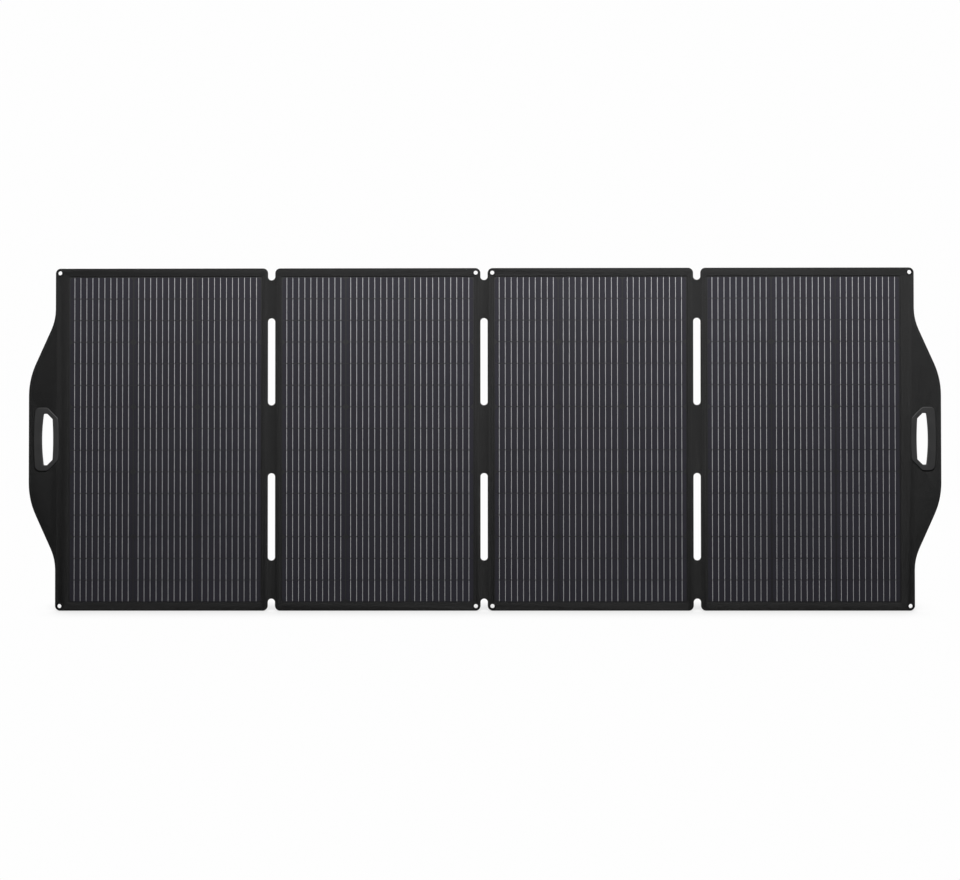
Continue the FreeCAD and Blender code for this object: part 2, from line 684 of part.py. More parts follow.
def strap_profile(across):
    """The strap from its tab on the mat's back, across to its tab on the leg, seen from the side."""
    turn = math.radians(value("opening"))
    down_leg = FreeCAD.Vector(0, math.sin(turn), -math.cos(turn))
    pin = FreeCAD.Vector(across, value("pin_back"), value("pin_up"))
    seam = FreeCAD.Vector(across, value("mat_thick"), value("pin_up") - value("strap_low"))
    touching = [
        seam - FreeCAD.Vector(0, 0, value("strap_tab")),
        seam,
        pin + down_leg * value("strap_leg"),
        pin + down_leg * (value("strap_leg") + value("strap_tab")),
    ]
    runs = [(touching[i + 1] - touching[i]).normalize() for i in range(3)]
    sides = [FreeCAD.Vector(0, run.z, -run.y) for run in runs]
    thick = value("strap_thick")
    outside = [touching[0] + sides[0] * thick]
    for i in (0, 1):
        mitre = (sides[i] + sides[i + 1]) * (thick / (1 + sides[i].dot(sides[i + 1])))
        outside.append(touching[i + 1] + mitre)
    outside.append(touching[3] + sides[2] * thick)
    return touching + outside[::-1] + [touching[0]]


def make_junction_box():
    """The tray, seal, lid, screws and board of the junction box, and its output socket."""
    left = "box_left"
    right = "box_left + box_width"
    low = "box_low"
    high = "box_low + box_height"
    outer = rectangle(left, low, right, high)
    inner = rectangle(left + " + box_wall", low + " + box_wall", right + " - box_wall",
                      high + " - box_wall")
    screws = [(across, up) for across in (left + " + boss_in", right + " - boss_in")
              for up in (low + " + boss_in", high + " - boss_in")]
    tray_end = BACK + " + box_depth"
    seal_end = tray_end + " + seal_thick"
    lid_end = seal_end + " + lid_thick"

    tray = new_body("junction_box_tray")
    add_pad(tray, "floor", BACK, BACK + " + box_wall", [outer])
    add_pad(tray, "walls", BACK, tray_end, [outer, inner])
    add_pad(tray, "bosses", BACK, tray_end, (), [(across, up, "boss_size") for across, up in screws])
    round_corners(tray, "corners", outer, "box_round")
    holes = new_sketch(tray, "screw_holes", "-(%s)" % tray_end)
    for across, up in screws:
        draw_circle(holes, across, up, "screw_shank + screw_play")
    pocket = tray.newObject("PartDesign::Pocket", "junction_box_tray_holes")
    pocket.Profile = holes
    pocket.Reversed = True
    pocket.setExpression("Length", cell("tap_depth"))
    doc.recompute()

    seal = new_body("junction_box_seal")
    add_pad(seal, "ring", tray_end, seal_end, [outer, inner])
    round_corners(seal, "corners", outer, "box_round")

    lid = new_body("junction_box_lid")
    add_pad(lid, "plate", seal_end, lid_end, [outer],
            [(across, up, "screw_shank + screw_play") for across, up in screws])
    round_corners(lid, "corners", outer, "box_round")

    fixings = new_body("junction_box_screws")
    add_pad(fixings, "heads", lid_end, lid_end + " + head_thick", (),
            [(across, up, "screw_head") for across, up in screws])
    add_pad(fixings, "shanks", tray_end + " - screw_grip", lid_end + " + screw_bite", (),
            [(across, up, "screw_shank") for across, up in screws])

    circuit = new_body("junction_box_circuit")
    board = rectangle(left + " + circuit_side", low + " + circuit_end",
                      right + " - circuit_side", high + " - circuit_end")
    face = BACK + " + circuit_lift + circuit_thick"
    add_pad(circuit, "board", BACK + " + circuit_lift", face, [board])
    starts = ["%s + diode_first + %d * diode_pitch" % (left, place) for place in range(COLUMNS)]
    diodes = [rectangle(start, low + " + diode_low", start + " + diode_width",
                        low + " + diode_low + diode_length") for start in starts]
    add_pad(circuit, "diodes", face + " - circuit_thick / 2", face + " + diode_thick", diodes)

    socket = new_body("junction_box_socket")
    middle = left + " + box_width / 2"
    depth = BACK + " + box_depth / 2 + socket_set"
    sketch = new_sketch(socket, "barrel_outline", low + " - socket_length", "XY_Plane")
    draw_circle(sketch, middle, depth, "socket_size")
    draw_circle(sketch, middle, depth, "socket_bore")
    barrel = socket.newObject("PartDesign::Pad", "junction_box_socket_barrel")
    barrel.Profile = sketch
    barrel.setExpression("Length", cell("socket_length"))
    doc.recompute()
    cores = (
        ("floor", "socket_size", "socket_floor", low + " - socket_floor"),
        ("contact", "contact_size", "socket_length - contact_in - socket_floor + contact_root",
         low + " - socket_length + contact_in"),
    )
    for name, radius, height, start in cores:
        sketch = new_sketch(socket, name + "_outline", start, "XY_Plane")
        draw_circle(sketch, middle, depth, radius)
        pad = socket.newObject("PartDesign::Pad", "junction_box_socket_" + name)
        pad.Profile = sketch
        pad.setExpression("Length", cell(height))
        doc.recompute()


for number in PANELS:
    make_back_cover(number)
    make_edge_band(number)
    make_laminate(number)
    make_cells(number)
    make_ribbons(number)
    make_front_cover(number)
    make_eyelets(number)
make_handle("left", -1)
make_handle("right", 1)
make_fold("left", "-1 * fold_pitch")
make_fold("centre", "0")
make_fold("right", "fold_pitch")
make_stand("left", -1)
make_stand("right", 1)
make_junction_box()
doc.recompute()

bodies = [thing for thing in doc.Objects if thing.TypeId in ("PartDesign::Body", "Part::Feature")]
for thing in doc.Objects:
    if "Invalid" in thing.State or "Error" in thing.State:
        raise RuntimeError("%s failed: %s" % (thing.Label, thing.State))
for body in bodies:
    if body.Shape.isNull() or not body.Shape.isValid() or not body.Shape.Solids:
        raise RuntimeError("%s has no sound shape" % body.Label)

os.makedirs("parts", exist_ok=True)
for body in bodies:
    body.Shape.exportStep("parts/%s.step" % body.Label)
    box = body.Shape.BoundBox
    print("%-28s %3d solids %12.0f mm3" % (body.Label, len(body.Shape.Solids), body.Shape.Volume),
          "x %.1f..%.1f y %.1f..%.1f z %.1f..%.1f"
          % (box.XMin, box.XMax, box.YMin, box.YMax, box.ZMin, box.ZMax))
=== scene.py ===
"""Looks of a four-panel folding solar mat with grip wings, fabric folds and two rear legs."""
import json
import math

import bpy
from bpy.props import FloatProperty, FloatVectorProperty, PointerProperty
from mathutils import Matrix, Vector

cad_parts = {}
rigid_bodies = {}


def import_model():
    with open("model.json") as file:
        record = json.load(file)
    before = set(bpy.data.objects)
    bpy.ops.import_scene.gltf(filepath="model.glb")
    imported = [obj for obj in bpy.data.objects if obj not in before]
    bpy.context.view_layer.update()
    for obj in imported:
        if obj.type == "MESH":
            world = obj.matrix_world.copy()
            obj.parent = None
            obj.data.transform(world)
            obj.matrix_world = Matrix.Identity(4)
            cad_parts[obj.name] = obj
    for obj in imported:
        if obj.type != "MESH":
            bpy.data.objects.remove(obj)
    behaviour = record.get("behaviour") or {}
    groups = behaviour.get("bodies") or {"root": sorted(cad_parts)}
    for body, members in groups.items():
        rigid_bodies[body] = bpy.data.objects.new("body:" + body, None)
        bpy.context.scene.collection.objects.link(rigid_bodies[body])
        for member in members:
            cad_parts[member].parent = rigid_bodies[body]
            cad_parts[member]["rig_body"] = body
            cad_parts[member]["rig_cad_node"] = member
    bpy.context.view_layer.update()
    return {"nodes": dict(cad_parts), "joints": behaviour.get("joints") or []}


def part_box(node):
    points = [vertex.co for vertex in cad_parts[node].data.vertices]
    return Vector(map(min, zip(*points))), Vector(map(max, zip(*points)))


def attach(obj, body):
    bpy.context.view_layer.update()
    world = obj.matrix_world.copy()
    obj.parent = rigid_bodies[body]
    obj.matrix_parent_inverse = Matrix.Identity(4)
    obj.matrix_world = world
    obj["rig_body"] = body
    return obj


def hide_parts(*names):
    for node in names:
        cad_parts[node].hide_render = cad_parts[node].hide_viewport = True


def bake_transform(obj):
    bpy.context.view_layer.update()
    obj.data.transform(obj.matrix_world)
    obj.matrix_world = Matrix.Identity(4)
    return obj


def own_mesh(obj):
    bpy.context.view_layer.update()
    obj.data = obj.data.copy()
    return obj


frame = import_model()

bl_info = {
    "name": "Folding Solar Mat",
    "version": (1, 0, 0),
    "blender": (4, 5, 0),
    "location": "View3D > Sidebar > Solar Mat",
    "description": "Fabric, cells, grips, legs and stage of a folding solar mat",
    "category": "Object",
}

NODES = frame["nodes"]
JOINTS = {joint["name"]: joint for joint in frame["joints"]}

# The mat's own directions: right along X, up its slope, and out of its front face.
RIGHT = Vector((1, 0, 0))
UP = Vector(JOINTS["fold_centre"]["axis"]).normalized()
FRONT = RIGHT.cross(UP)
LEAN = math.atan2(UP.y, UP.z)

# Sizes that the frame fixes, in metres.
THICK = 0.005
FOLD_LIFT = 0.002
HEIGHT = 0.993
FOLD = abs(JOINTS["fold_left"]["pos_m"][0])
GAP = 0.01075
EDGE = 1.245
MIDDLE = HEIGHT / 2
WING_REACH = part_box("panel_4_back_cover")[1].x - EDGE
WING_SHOULDER = 0.175
WING_ROOT = 0.347
SHOULDER_ROUND = 0.224
ROOT_ROUND = 0.150
CORNER_ROUND = 0.0145
SLOT_NEAR = 0.0985
SLOT_FAR = 0.3515
NOTCH = 0.0345
CELL_PITCH = 0.1858
CELL_WIDTH = 0.182
THIRD = 0.06067
ROW_PITCH = 0.0628
RIBBON_PITCH = 0.01746
RIBBON_WIDTH = 0.0015
FOLD_MARGIN = 0.0317
WINDOW_MARGIN = 0.003
FILM_MARGIN = 0.008
LINK_SPREAD = 0.040
LINK_WIDTH = 0.014
LINK_THICK = 0.0003
LEG_THICK = 0.005
LEAF_THICK = 0.0015
STRAP_THICK = 0.0015
STRAP_HALF = 0.0125
STRAP_TAB = 0.035
STRAP_LOW = 0.600
STRAP_LEG = 0.520
PIN_UP = 0.780
COLUMNS = 3
ROWS = 15
RIBBONS = 10
CELL_FLOOR = (HEIGHT - (ROWS - 1) * ROW_PITCH - THIRD) / 2
BLOCK = (COLUMNS - 1) * CELL_PITCH + CELL_WIDTH
RIBBON_DEPTH = 0.0016
CELL_DEPTH = 0.0018
LEG_TOP = 0.088
LEG_FOOT = 0.130
LEG_START = 0.008
OUTER_PANEL = {"left": "panel_1", "right": "panel_4"}

# Sizes that only the looks use, in metres.
MERGE = 1e-5
THREAD_PITCH = 0.0011
WINDOW_ROUND = 0.004
WINDOW_SEAM = 0.004
LEAST_ROUND = 0.002
BINDING_INSET = 0.001
BINDING_LAP = 0.004
RIBBON_GAP = 0.0016
RIBBON_DIP = 0.0007
RIBBON_SINK = 0.0003
RIBBON_CLEAR = 0.00004
WEB_LAP = 0.0004
WEB_STEP = 0.008
WEB_ROUND = 0.0005
LEG_SEAM = 0.007
LEG_SEAM_ROUND = 0.008
LEG_SEAM_LIFT = 0.006
TAB_SEAM = 0.004
RIVET_RADIUS = 0.0036
RIVET_HEIGHT = 0.0016
RIVET_LIFT = 0.0007
RIVET_ROUND = 0.0009
RIVET_DROP = 0.022
RIVET_ACROSS = (-0.045, -0.015, 0.015, 0.045)

# The camera: degrees round to the right, degrees below square on, roll, and metres in view.
CAMERA_TURN = 0.6
CAMERA_DROP = 1.08
CAMERA_ROLL = -0.19
CAMERA_LENS = 85
CAMERA_SENSOR = 36
CAMERA_WIDTH = 2.783
CAMERA_TARGET = Vector((-0.0118, MIDDLE - 0.0026, 0))

# Each lamp: name, place, the edge of the mat it faces, width and height, and power.
LAMPS = (
    ("key", (0.35, -1.3, 2.7), "top", (4.0, 0.8), 92),
    ("back_left", (-2.0, 2.6, 2.2), "foot", (2.2, 1.4), 130),
    ("back_right", (2.4, 2.4, 2.0), "foot", (2.0, 1.4), 95),
)
BACKDROP = 0.99
FILL = 0.045
FLOOR_SIZE = 160

HINGE = Vector(JOINTS["fold_centre"]["pos_m"])
ORIGIN = HINGE + FRONT * (THICK + FOLD_LIFT)


def board_matrix(right, up, origin):
    """The placement of a drawing board: x to the right, y up it, z out of its face."""
    out = right.cross(up)
    turn = Matrix((right, up, out)).transposed().to_4x4()
    return Matrix.Translation(origin) @ turn


MAT = board_matrix(RIGHT, UP, ORIGIN)


def pin_place(side):
    """The middle of a leg's hinge pin."""
    return Vector(JOINTS["stand_%s_swing" % side]["pos_m"])


def leg_matrix(side):
    """A drawing board on a leg's face towards the mat, with its origin at the hinge pin."""
    turn = Matrix.Rotation(math.radians(-JOINTS["stand_%s_swing" % side]["range_deg"][0]), 3, "X")
    return board_matrix(RIGHT, turn @ UP, pin_place(side))


class MatSizes(bpy.types.PropertyGroup):
    """Sizes of the sewn and rounded details"""

    edge_round: FloatProperty(
        name="Edge round", description="Rounded edge of the fabric covers",
        default=0.00035, unit="LENGTH")
    binding_half: FloatProperty(
        name="Binding", description="Half the width of the rolled edge", default=0.0014, unit="LENGTH")
    binding_proud: FloatProperty(
        name="Binding height", description="How far the rolled edge stands off each cover",
        default=0.00025, unit="LENGTH")
    stitch_pitch: FloatProperty(
        name="Stitch pitch", description="Needle hole to needle hole", default=0.0042, unit="LENGTH")
    stitch_length: FloatProperty(
        name="Stitch", description="Thread that shows between two holes", default=0.0032, unit="LENGTH")
    thread_half: FloatProperty(
        name="Thread", description="Half the thread's width", default=0.0003, unit="LENGTH")
    hem_inset: FloatProperty(
        name="Hem stitching", description="Edge to the row of stitches", default=0.0055, unit="LENGTH")
    fold_dip: FloatProperty(
        name="Fold dip", description="How far the fabric dips along a fold",
        default=0.0009, unit="LENGTH")


def colour(name, description, default):
    """A colour setting, in linear red, green and blue."""
    return FloatVectorProperty(name=name, description=description, default=default, subtype="COLOR",
                               size=3, min=0, max=1)


class MatColours(bpy.types.PropertyGroup):
    """Base colours of the materials"""

    fabric: colour("Fabric", "Coated polyester covers", (0.0128, 0.0128, 0.0129))
    grip: colour("Grip", "Soft plastic grip rings", (0.036, 0.036, 0.0365))
    cell: colour("Cell", "Silicon cells", (0.030, 0.0285, 0.0385))
    backing: colour("Backing", "Laminate between the cells", (0.007, 0.007, 0.008))
    ribbon: colour("Ribbon", "Tinned ribbons", (0.66, 0.66, 0.68))
    film: colour("Film", "Clear front film", (0.10, 0.10, 0.11))
    metal: colour("Eyelets", "Blackened steel eyelets", (0.035, 0.035, 0.036))
    steel: colour("Hinges", "Plain steel hinges", (0.42, 0.42, 0.43))
    rubber: colour("Rubber", "Leg feet and seals", (0.018, 0.018, 0.018))
    webbing: colour("Webbing", "Limiting straps", (0.016, 0.016, 0.017))
    thread: colour("Thread", "Stitching", (0.030, 0.030, 0.031))
    shell: colour("Box", "Moulded junction box", (0.024, 0.024, 0.025))
    copper: colour("Copper", "Flat conductors", (0.72, 0.36, 0.2))
    circuit: colour("Circuit", "Circuit board", (0.02, 0.12, 0.04))
    floor: colour("Floor", "Studio floor", (1.0, 1.0, 1.0))


def sizes():
    """The sizes set in the scene."""
    return bpy.context.scene.mat_sizes


def colours():
    """The colours set in the scene."""
    return bpy.context.scene.mat_colours


# ---- materials ----

class Shader:
    """A node material with one principled shader, and short ways to add to it."""

    def __init__(self, name, base, roughness, **sockets):
        self.material = bpy.data.materials.new(name)
        self.material.use_nodes = True
        self.tree = self.material.node_tree
        self.shader = self.tree.nodes["Principled BSDF"]
        self.base = tuple(base) + (1,)
        self.shader.inputs["Base Color"].default_value = self.base
        self.shader.inputs["Roughness"].default_value = roughness
        for socket, value in sockets.items():
            self.shader.inputs[socket.replace("_", " ")].default_value = value

    def add(self, kind, inputs=(), **settings):
        """Add a node, set its settings, and link or set each of its inputs."""
        node = self.tree.nodes.new(kind)
        for key, value in settings.items():
            setattr(node, key, value)
        for key, value in dict(inputs).items():
            if isinstance(value, bpy.types.NodeSocket):
                self.tree.links.new(value, node.inputs[key])
            else:
                node.inputs[key].default_value = value
        return node

    def place(self, matrix=MAT):
        """Coordinates on a drawing board, in metres, read from the object's own."""
        source = self.add("ShaderNodeTexCoord").outputs["Object"]
        back = matrix.inverted()
        mapping = self.add("ShaderNodeMapping", {
            "Vector": source, "Location": back.translation, "Rotation": back.to_euler()})
        return mapping.outputs["Vector"]

    def maths(self, operation, first, second=0.0):
        """One sum of two values."""
        return self.add("ShaderNodeMath", {0: first, 1: second}, operation=operation).outputs[0]

    def noise(self, where, scale, detail=3.0):
        """Soft random patches; a larger scale makes them smaller."""
        return self.add("ShaderNodeTexNoise", {
            "Vector": where, "Scale": scale, "Detail": detail}).outputs["Fac"]

    def ramp(self, value, low, high, start=0.0, end=1.0):
        """Turn a value that runs from start to end into one that runs from low to high."""
        return self.add("ShaderNodeMapRange", {
            "Value": value, "From Min": start, "From Max": end, "To Min": low, "To Max": high}).outputs[0]

    def tint(self, amount, darker=0.6, lighter=1.35):
        """Vary the base colour with a value from 0 to 1."""
        mix = self.add("ShaderNodeMix", {"Factor": amount}, data_type="RGBA")
        for socket, share in zip([s for s in mix.inputs if s.type == "RGBA"], (darker, lighter)):
            socket.default_value = tuple(c * share for c in self.base[:3]) + (1,)
        mixed = [s for s in mix.outputs if s.type == "RGBA"][0]
        self.tree.links.new(mixed, self.shader.inputs["Base Color"])

    def rough(self, amount):
        """Vary the roughness with a value."""
        self.tree.links.new(amount, self.shader.inputs["Roughness"])

    def bump(self, height, strength, distance, normal=None):
        """Relief from a height, laid over an earlier relief if there is one."""
        inputs = {"Height": height, "Strength": strength, "Distance": distance}
        if normal is not None:
            inputs["Normal"] = normal
        return self.add("ShaderNodeBump", inputs).outputs["Normal"]

    def finish(self, normal):
        """Link the relief and hand over the finished material."""
        self.tree.links.new(normal, self.shader.inputs["Normal"])
        return self.material


def wave(shader, where, direction, pitch):
    """Stripes of one thread pitch across a drawing board."""
    return shader.add("ShaderNodeTexWave", {
        "Vector": where, "Scale": 2 * math.pi / (20 * pitch), "Distortion": 0.0, "Detail": 0.0},
        wave_type="BANDS", bands_direction=direction, wave_profile="SIN").outputs["Fac"]


def woven(name, base, pitch, roughness, matrix=MAT, depth=0.0004):
    """Plain-woven coated fabric: threads over and under, faint creases and worn patches, with painted
    shade that lightens the threads lying over and darkens those lying under.
    """
    shader = Shader(name, base, roughness, Specular_IOR_Level=0.35)
    where = shader.place(matrix)
    warp = wave(shader, where, "X", pitch)
    weft = wave(shader, where, "Y", pitch)
    warp_over = shader.maths("MULTIPLY", warp, shader.maths("SUBTRACT", 1.0, weft))
    weft_over = shader.maths("MULTIPLY", weft, shader.maths("SUBTRACT", 1.0, warp))
    over = shader.maths("MAXIMUM", warp_over, weft_over)
    patches = shader.noise(where, 9.0, 4.0)
    creases = shader.noise(where, 38.0, 2.0)
    fine = shader.noise(where, 900.0, 1.0)
    # The colour mixes random worn patches and fine specks with painted shade from the weave: raised
    # threads lighter, sunken ones darker.
    shade = shader.maths("ADD", shader.maths("MULTIPLY", patches, 0.35),
                         shader.maths("MULTIPLY", over, 0.45))
    shade = shader.maths("ADD", shade, shader.maths("MULTIPLY", fine, 0.25))
    shader.tint(shade, 0.82, 1.22)
    shader.rough(shader.ramp(patches, roughness - 0.07, roughness + 0.08, 0.3, 0.7))
    normal = shader.bump(over, 0.8, depth)
    normal = shader.bump(creases, 0.35, 0.0006, normal)
    normal = shader.bump(patches, 0.35, 0.002, normal)
    return shader.finish(normal)


def webbing_material():
    """Twill webbing: slanted ribs across the strap, with painted shade that darkens the hollows between
    the ribs.
    """
    shader = Shader("strap_webbing", colours().webbing, 0.72, Sheen_Weight=0.2)
    where = shader.place()
    turned = shader.add("ShaderNodeMapping", {"Vector": where, "Rotation": (0, 0, math.radians(32))})
    ribs = wave(shader, turned.outputs["Vector"], "X", 0.0016)
    threads = shader.noise(where, 1500.0, 1.0)
    # The colour is painted shade from the ribs, crests lighter and hollows darker, plus random tone from
    # the fine threads.
    shader.tint(shader.maths("ADD", shader.maths("MULTIPLY", ribs, 0.6),
                             shader.maths("MULTIPLY", threads, 0.3)), 0.6, 1.5)
    return shader.finish(shader.bump(threads, 0.3, 0.0001, shader.bump(ribs, 0.7, 0.0003)))


def moulded(name, base, roughness, grain=2600.0, depth=0.00004, **sockets):
    """Moulded plastic or rubber with a fine eroded grain and faint handling marks."""
    shader = Shader(name, base, roughness, **sockets)
    where = shader.place()
    texture = shader.add("ShaderNodeTexVoronoi", {"Vector": where, "Scale": grain}).outputs["Distance"]
    marks = shader.noise(where, 26.0, 4.0)
    shader.tint(marks, 0.85, 1.18)
    shader.rough(shader.ramp(marks, roughness - 0.08, roughness + 0.08, 0.3, 0.7))
    return shader.finish(shader.bump(texture, 0.5, depth))


def brushed(name, base, roughness, stretch=(40, 1600, 1600), **sockets):
    """Bare metal with drawn lines along X and faint tarnish."""
    shader = Shader(name, base, roughness, Metallic=1.0, **sockets)
    where = shader.place()
    lines = shader.add("ShaderNodeMapping", {"Vector": where, "Scale": stretch})
    grain = shader.noise(lines.outputs["Vector"], 1.0, 2.0)
    tarnish = shader.noise(where, 60.0, 4.0)
    shader.tint(tarnish, 0.88, 1.1)
    shader.rough(shader.ramp(tarnish, roughness - 0.02, roughness + 0.05, 0.3, 0.7))
    return shader.finish(shader.bump(grain, 0.15, 0.00003))


def cell_material():
    """Textured blue-black silicon with fine printed fingers, each cell a little different."""
    shader = Shader("silicon", colours().cell, 0.6, Specular_IOR_Level=0.14, Coat_Weight=0.02,
                    Coat_Roughness=0.4)
    where = shader.place()
    split = shader.add("ShaderNodeSeparateXYZ", {"Vector": where})
    column = shader.maths("FLOOR", shader.maths("DIVIDE", split.outputs["X"], CELL_PITCH / 2))
    row = shader.maths("FLOOR", shader.maths(
        "DIVIDE", shader.maths("SUBTRACT", split.outputs["Y"], CELL_FLOOR - 0.001), ROW_PITCH))
    index = shader.add("ShaderNodeCombineXYZ", {"X": column, "Y": row})
    chance = shader.add("ShaderNodeTexWhiteNoise", {"Vector": index.outputs[0]}, noise_dimensions="2D")
    fingers = wave(shader, where, "Y", 0.0014)
    thin = shader.maths("POWER", fingers, 6.0)
    cloud = shader.noise(where, 14.0, 3.0)
    shade = shader.maths("ADD", shader.maths("MULTIPLY", chance.outputs["Value"], 0.18),
                         shader.maths("MULTIPLY", thin, 0.35))
    shade = shader.maths("ADD", shade, shader.maths("MULTIPLY", cloud, 0.4))
    shader.tint(shade, 0.80, 1.30)
    sparkle = shader.noise(where, 3000.0, 1.0)
    return shader.finish(shader.bump(sparkle, 0.12, 0.00004))


def backing_material():
    """Dark laminate that shows between the cells and round them."""
    shader = Shader("laminate_backing", colours().backing, 0.5, Coat_Weight=0.2, Coat_Roughness=0.4)
    where = shader.place()
    cloud = shader.noise(where, 30.0, 3.0)
    shader.tint(cloud, 0.8, 1.2)
    return shader.finish(shader.bump(shader.noise(where, 1200.0, 2.0), 0.25, 0.00008))


def film_material():
    """Clear pebbled film: almost all of the light passes through it."""
    shader = Shader("clear_film", colours().film, 0.45, Alpha=0.035, Specular_IOR_Level=0.5)
    where = shader.place()
    pebbles = shader.add("ShaderNodeTexVoronoi", {"Vector": where, "Scale": 700.0}).outputs["Distance"]
    shader.rough(shader.ramp(shader.noise(where, 20.0, 2.0), 0.4, 0.52, 0.3, 0.7))
    return shader.finish(shader.bump(pebbles, 0.3, 0.00015))


def ribbon_material():
    """Tinned copper ribbon with long drawn streaks."""
    shader = Shader("tinned_ribbon", colours().ribbon, 0.5, Metallic=0.15)
    where = shader.place()
    streaks = shader.add("ShaderNodeMapping", {"Vector": where, "Scale": (2500, 60, 60)})
    grain = shader.noise(streaks.outputs["Vector"], 1.0, 2.0)
    shader.tint(grain, 0.82, 1.12)
    return shader.finish(shader.bump(grain, 0.2, 0.00003))


def floor_material():
    """Pale studio floor that glows, with a short soft shade where something touches it."""
    shader = Shader("studio_floor", (0, 0, 0), 1.0, Specular_IOR_Level=0.0)
    near = shader.add("ShaderNodeAmbientOcclusion", {"Distance": 0.09}, samples=16)
    shade = shader.ramp(near.outputs["AO"], 0.66, 0.99, 0.4, 0.97)
    shader.tree.links.new(shade, shader.shader.inputs["Emission Strength"])
    shader.shader.inputs["Emission Color"].default_value = tuple(colours().floor) + (1,)
    return shader.material


MATERIALS = {}


def material(name, make, *values, **named):
    """Each material is made once and shared."""
    if name not in MATERIALS:
        MATERIALS[name] = make(*values, **named)
    return MATERIALS[name]


def fabric():
    """The covers, bindings and fold webs."""
    return material("fabric", woven, "coated_fabric", colours().fabric, THREAD_PITCH, 0.52)


def thread():
    """All of the stitching."""
    return material("thread", moulded, "bonded_thread", colours().thread, 0.5, 4000.0, 0.00003)


def hinge_steel():
    """Hinges, rivets and screws."""
    return material("steel", brushed, "hinge_steel", colours().steel, 0.42)


def foot_rubber():
    """The leg feet and the seal of the junction box."""
    return material("rubber", moulded, "foot_rubber", colours().rubber, 0.7, 900.0, 0.0002)


# ---- modelling helpers ----

def only(piece):
    """Select one object alone and make it active."""
    bpy.ops.object.select_all(action="DESELECT")
    piece.hide_set(False)
    piece.select_set(True)
    bpy.context.view_layer.objects.active = piece
    return piece


def rename(piece, name):
    """Give a piece and its mesh one name."""
    piece.name = name
    piece.data.name = name
    return piece


def dress(piece, finish):
    """Give a piece one material."""
    piece.data.materials.clear()
    piece.data.materials.append(finish)
    return piece


def put(piece, matrix):
    """Move a piece's mesh from its drawing board to its place, leaving the object at the origin."""
    piece.data.transform(piece.matrix_basis)
    piece.matrix_basis = Matrix.Identity(4)
    piece.data.transform(matrix)
    piece.data.update()
    return piece


def smooth(piece, angle=35):
    """Shade a piece smooth, except across edges sharper than an angle."""
    only(piece)
    bpy.ops.object.shade_smooth_by_angle(angle=math.radians(angle))
    return piece


def apply_all(piece):
    """Apply every modifier in turn."""
    only(piece)
    for modifier in list(piece.modifiers):
        bpy.ops.object.modifier_apply(modifier=modifier.name)
    return piece


def join(pieces, name):
    """Join several meshes into one piece."""
    bpy.ops.object.select_all(action="DESELECT")
    for piece in pieces:
        piece.select_set(True)
    bpy.context.view_layer.objects.active = pieces[0]
    if len(pieces) > 1:
        bpy.ops.object.join()
    return rename(pieces[0], name)


def select_faces(piece, wanted):
    """Select only the faces whose normals pass a test, and go into edit mode."""
    bpy.ops.object.mode_set(mode="EDIT")
    bpy.ops.mesh.select_all(action="DESELECT")
    bpy.ops.object.mode_set(mode="OBJECT")
    for polygon in piece.data.polygons:
        polygon.select = wanted(polygon.normal)
    bpy.ops.object.mode_set(mode="EDIT")


def thicken(depth):
    """Extrude the whole of the active sheet straight back into the mat."""
    bpy.ops.object.mode_set(mode="EDIT")
    bpy.ops.mesh.select_all(action="SELECT")
    bpy.ops.mesh.extrude_region_move(TRANSFORM_OT_translate={"value": (0, 0, -depth)})
    bpy.ops.object.mode_set(mode="OBJECT")


def repeat(piece, count, offset):
    """Add an array of equal steps."""
    array = piece.modifiers.new("row", "ARRAY")
    array.count = count
    array.use_relative_offset = False
    array.use_constant_offset = True
    array.constant_offset_displace = offset


def round_edges(piece, width, sharp):
    """Add a bevel on the edges sharper than an angle."""
    bevel = piece.modifiers.new("round", "BEVEL")
    bevel.width = width
    bevel.segments = 2
    bevel.limit_method = "ANGLE"
    bevel.angle_limit = math.radians(sharp)


def outward(piece):
    """Close the piece's doubles and turn its faces outwards."""
    only(piece)
    bpy.ops.object.mode_set(mode="EDIT")
    bpy.ops.mesh.select_all(action="SELECT")
    bpy.ops.mesh.remove_doubles(threshold=1e-6)
    bpy.ops.mesh.normals_make_consistent(inside=False)
    bpy.ops.object.mode_set(mode="OBJECT")
    return piece


def tailored(node, name, width, segments=2, sharp=35):
    """A piece cut to a node's own outline, with its edges turned over."""
    piece = NODES[node].copy()
    piece.data = NODES[node].data.copy()
    rename(piece, name)
    piece.parent = None
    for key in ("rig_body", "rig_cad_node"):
        del piece[key]
    bpy.context.scene.collection.objects.link(piece)
    only(piece)
    bpy.ops.object.mode_set(mode="EDIT")
    bpy.ops.mesh.select_all(action="SELECT")
    bpy.ops.mesh.remove_doubles(threshold=MERGE)
    bpy.ops.mesh.dissolve_limited(angle_limit=math.radians(1))
    bpy.ops.mesh.select_all(action="DESELECT")
    bpy.ops.mesh.edges_select_sharp(sharpness=math.radians(sharp))
    bpy.ops.mesh.bevel(offset=width, segments=segments, affect="EDGES", clamp_overlap=True)
    bpy.ops.object.mode_set(mode="OBJECT")
    return smooth(piece)


def weld_node(node):
    """Keep a node as it is, and let a modifier join its loose triangles."""
    piece = NODES[node]
    weld = piece.modifiers.new("weld", "WELD")
    weld.merge_threshold = MERGE
    return piece


def soften_node(node, finish, width):
    """Keep a node's shape, round its sharp edges with modifiers, and give it its finish."""
    piece = weld_node(node)
    flat = piece.modifiers.new("flat", "DECIMATE")
    flat.decimate_type = "DISSOLVE"
    flat.angle_limit = math.radians(0.5)
    round_edges(piece, width, 35)
    for polygon in piece.data.polygons:
        polygon.use_smooth = False
    return dress(piece, finish)


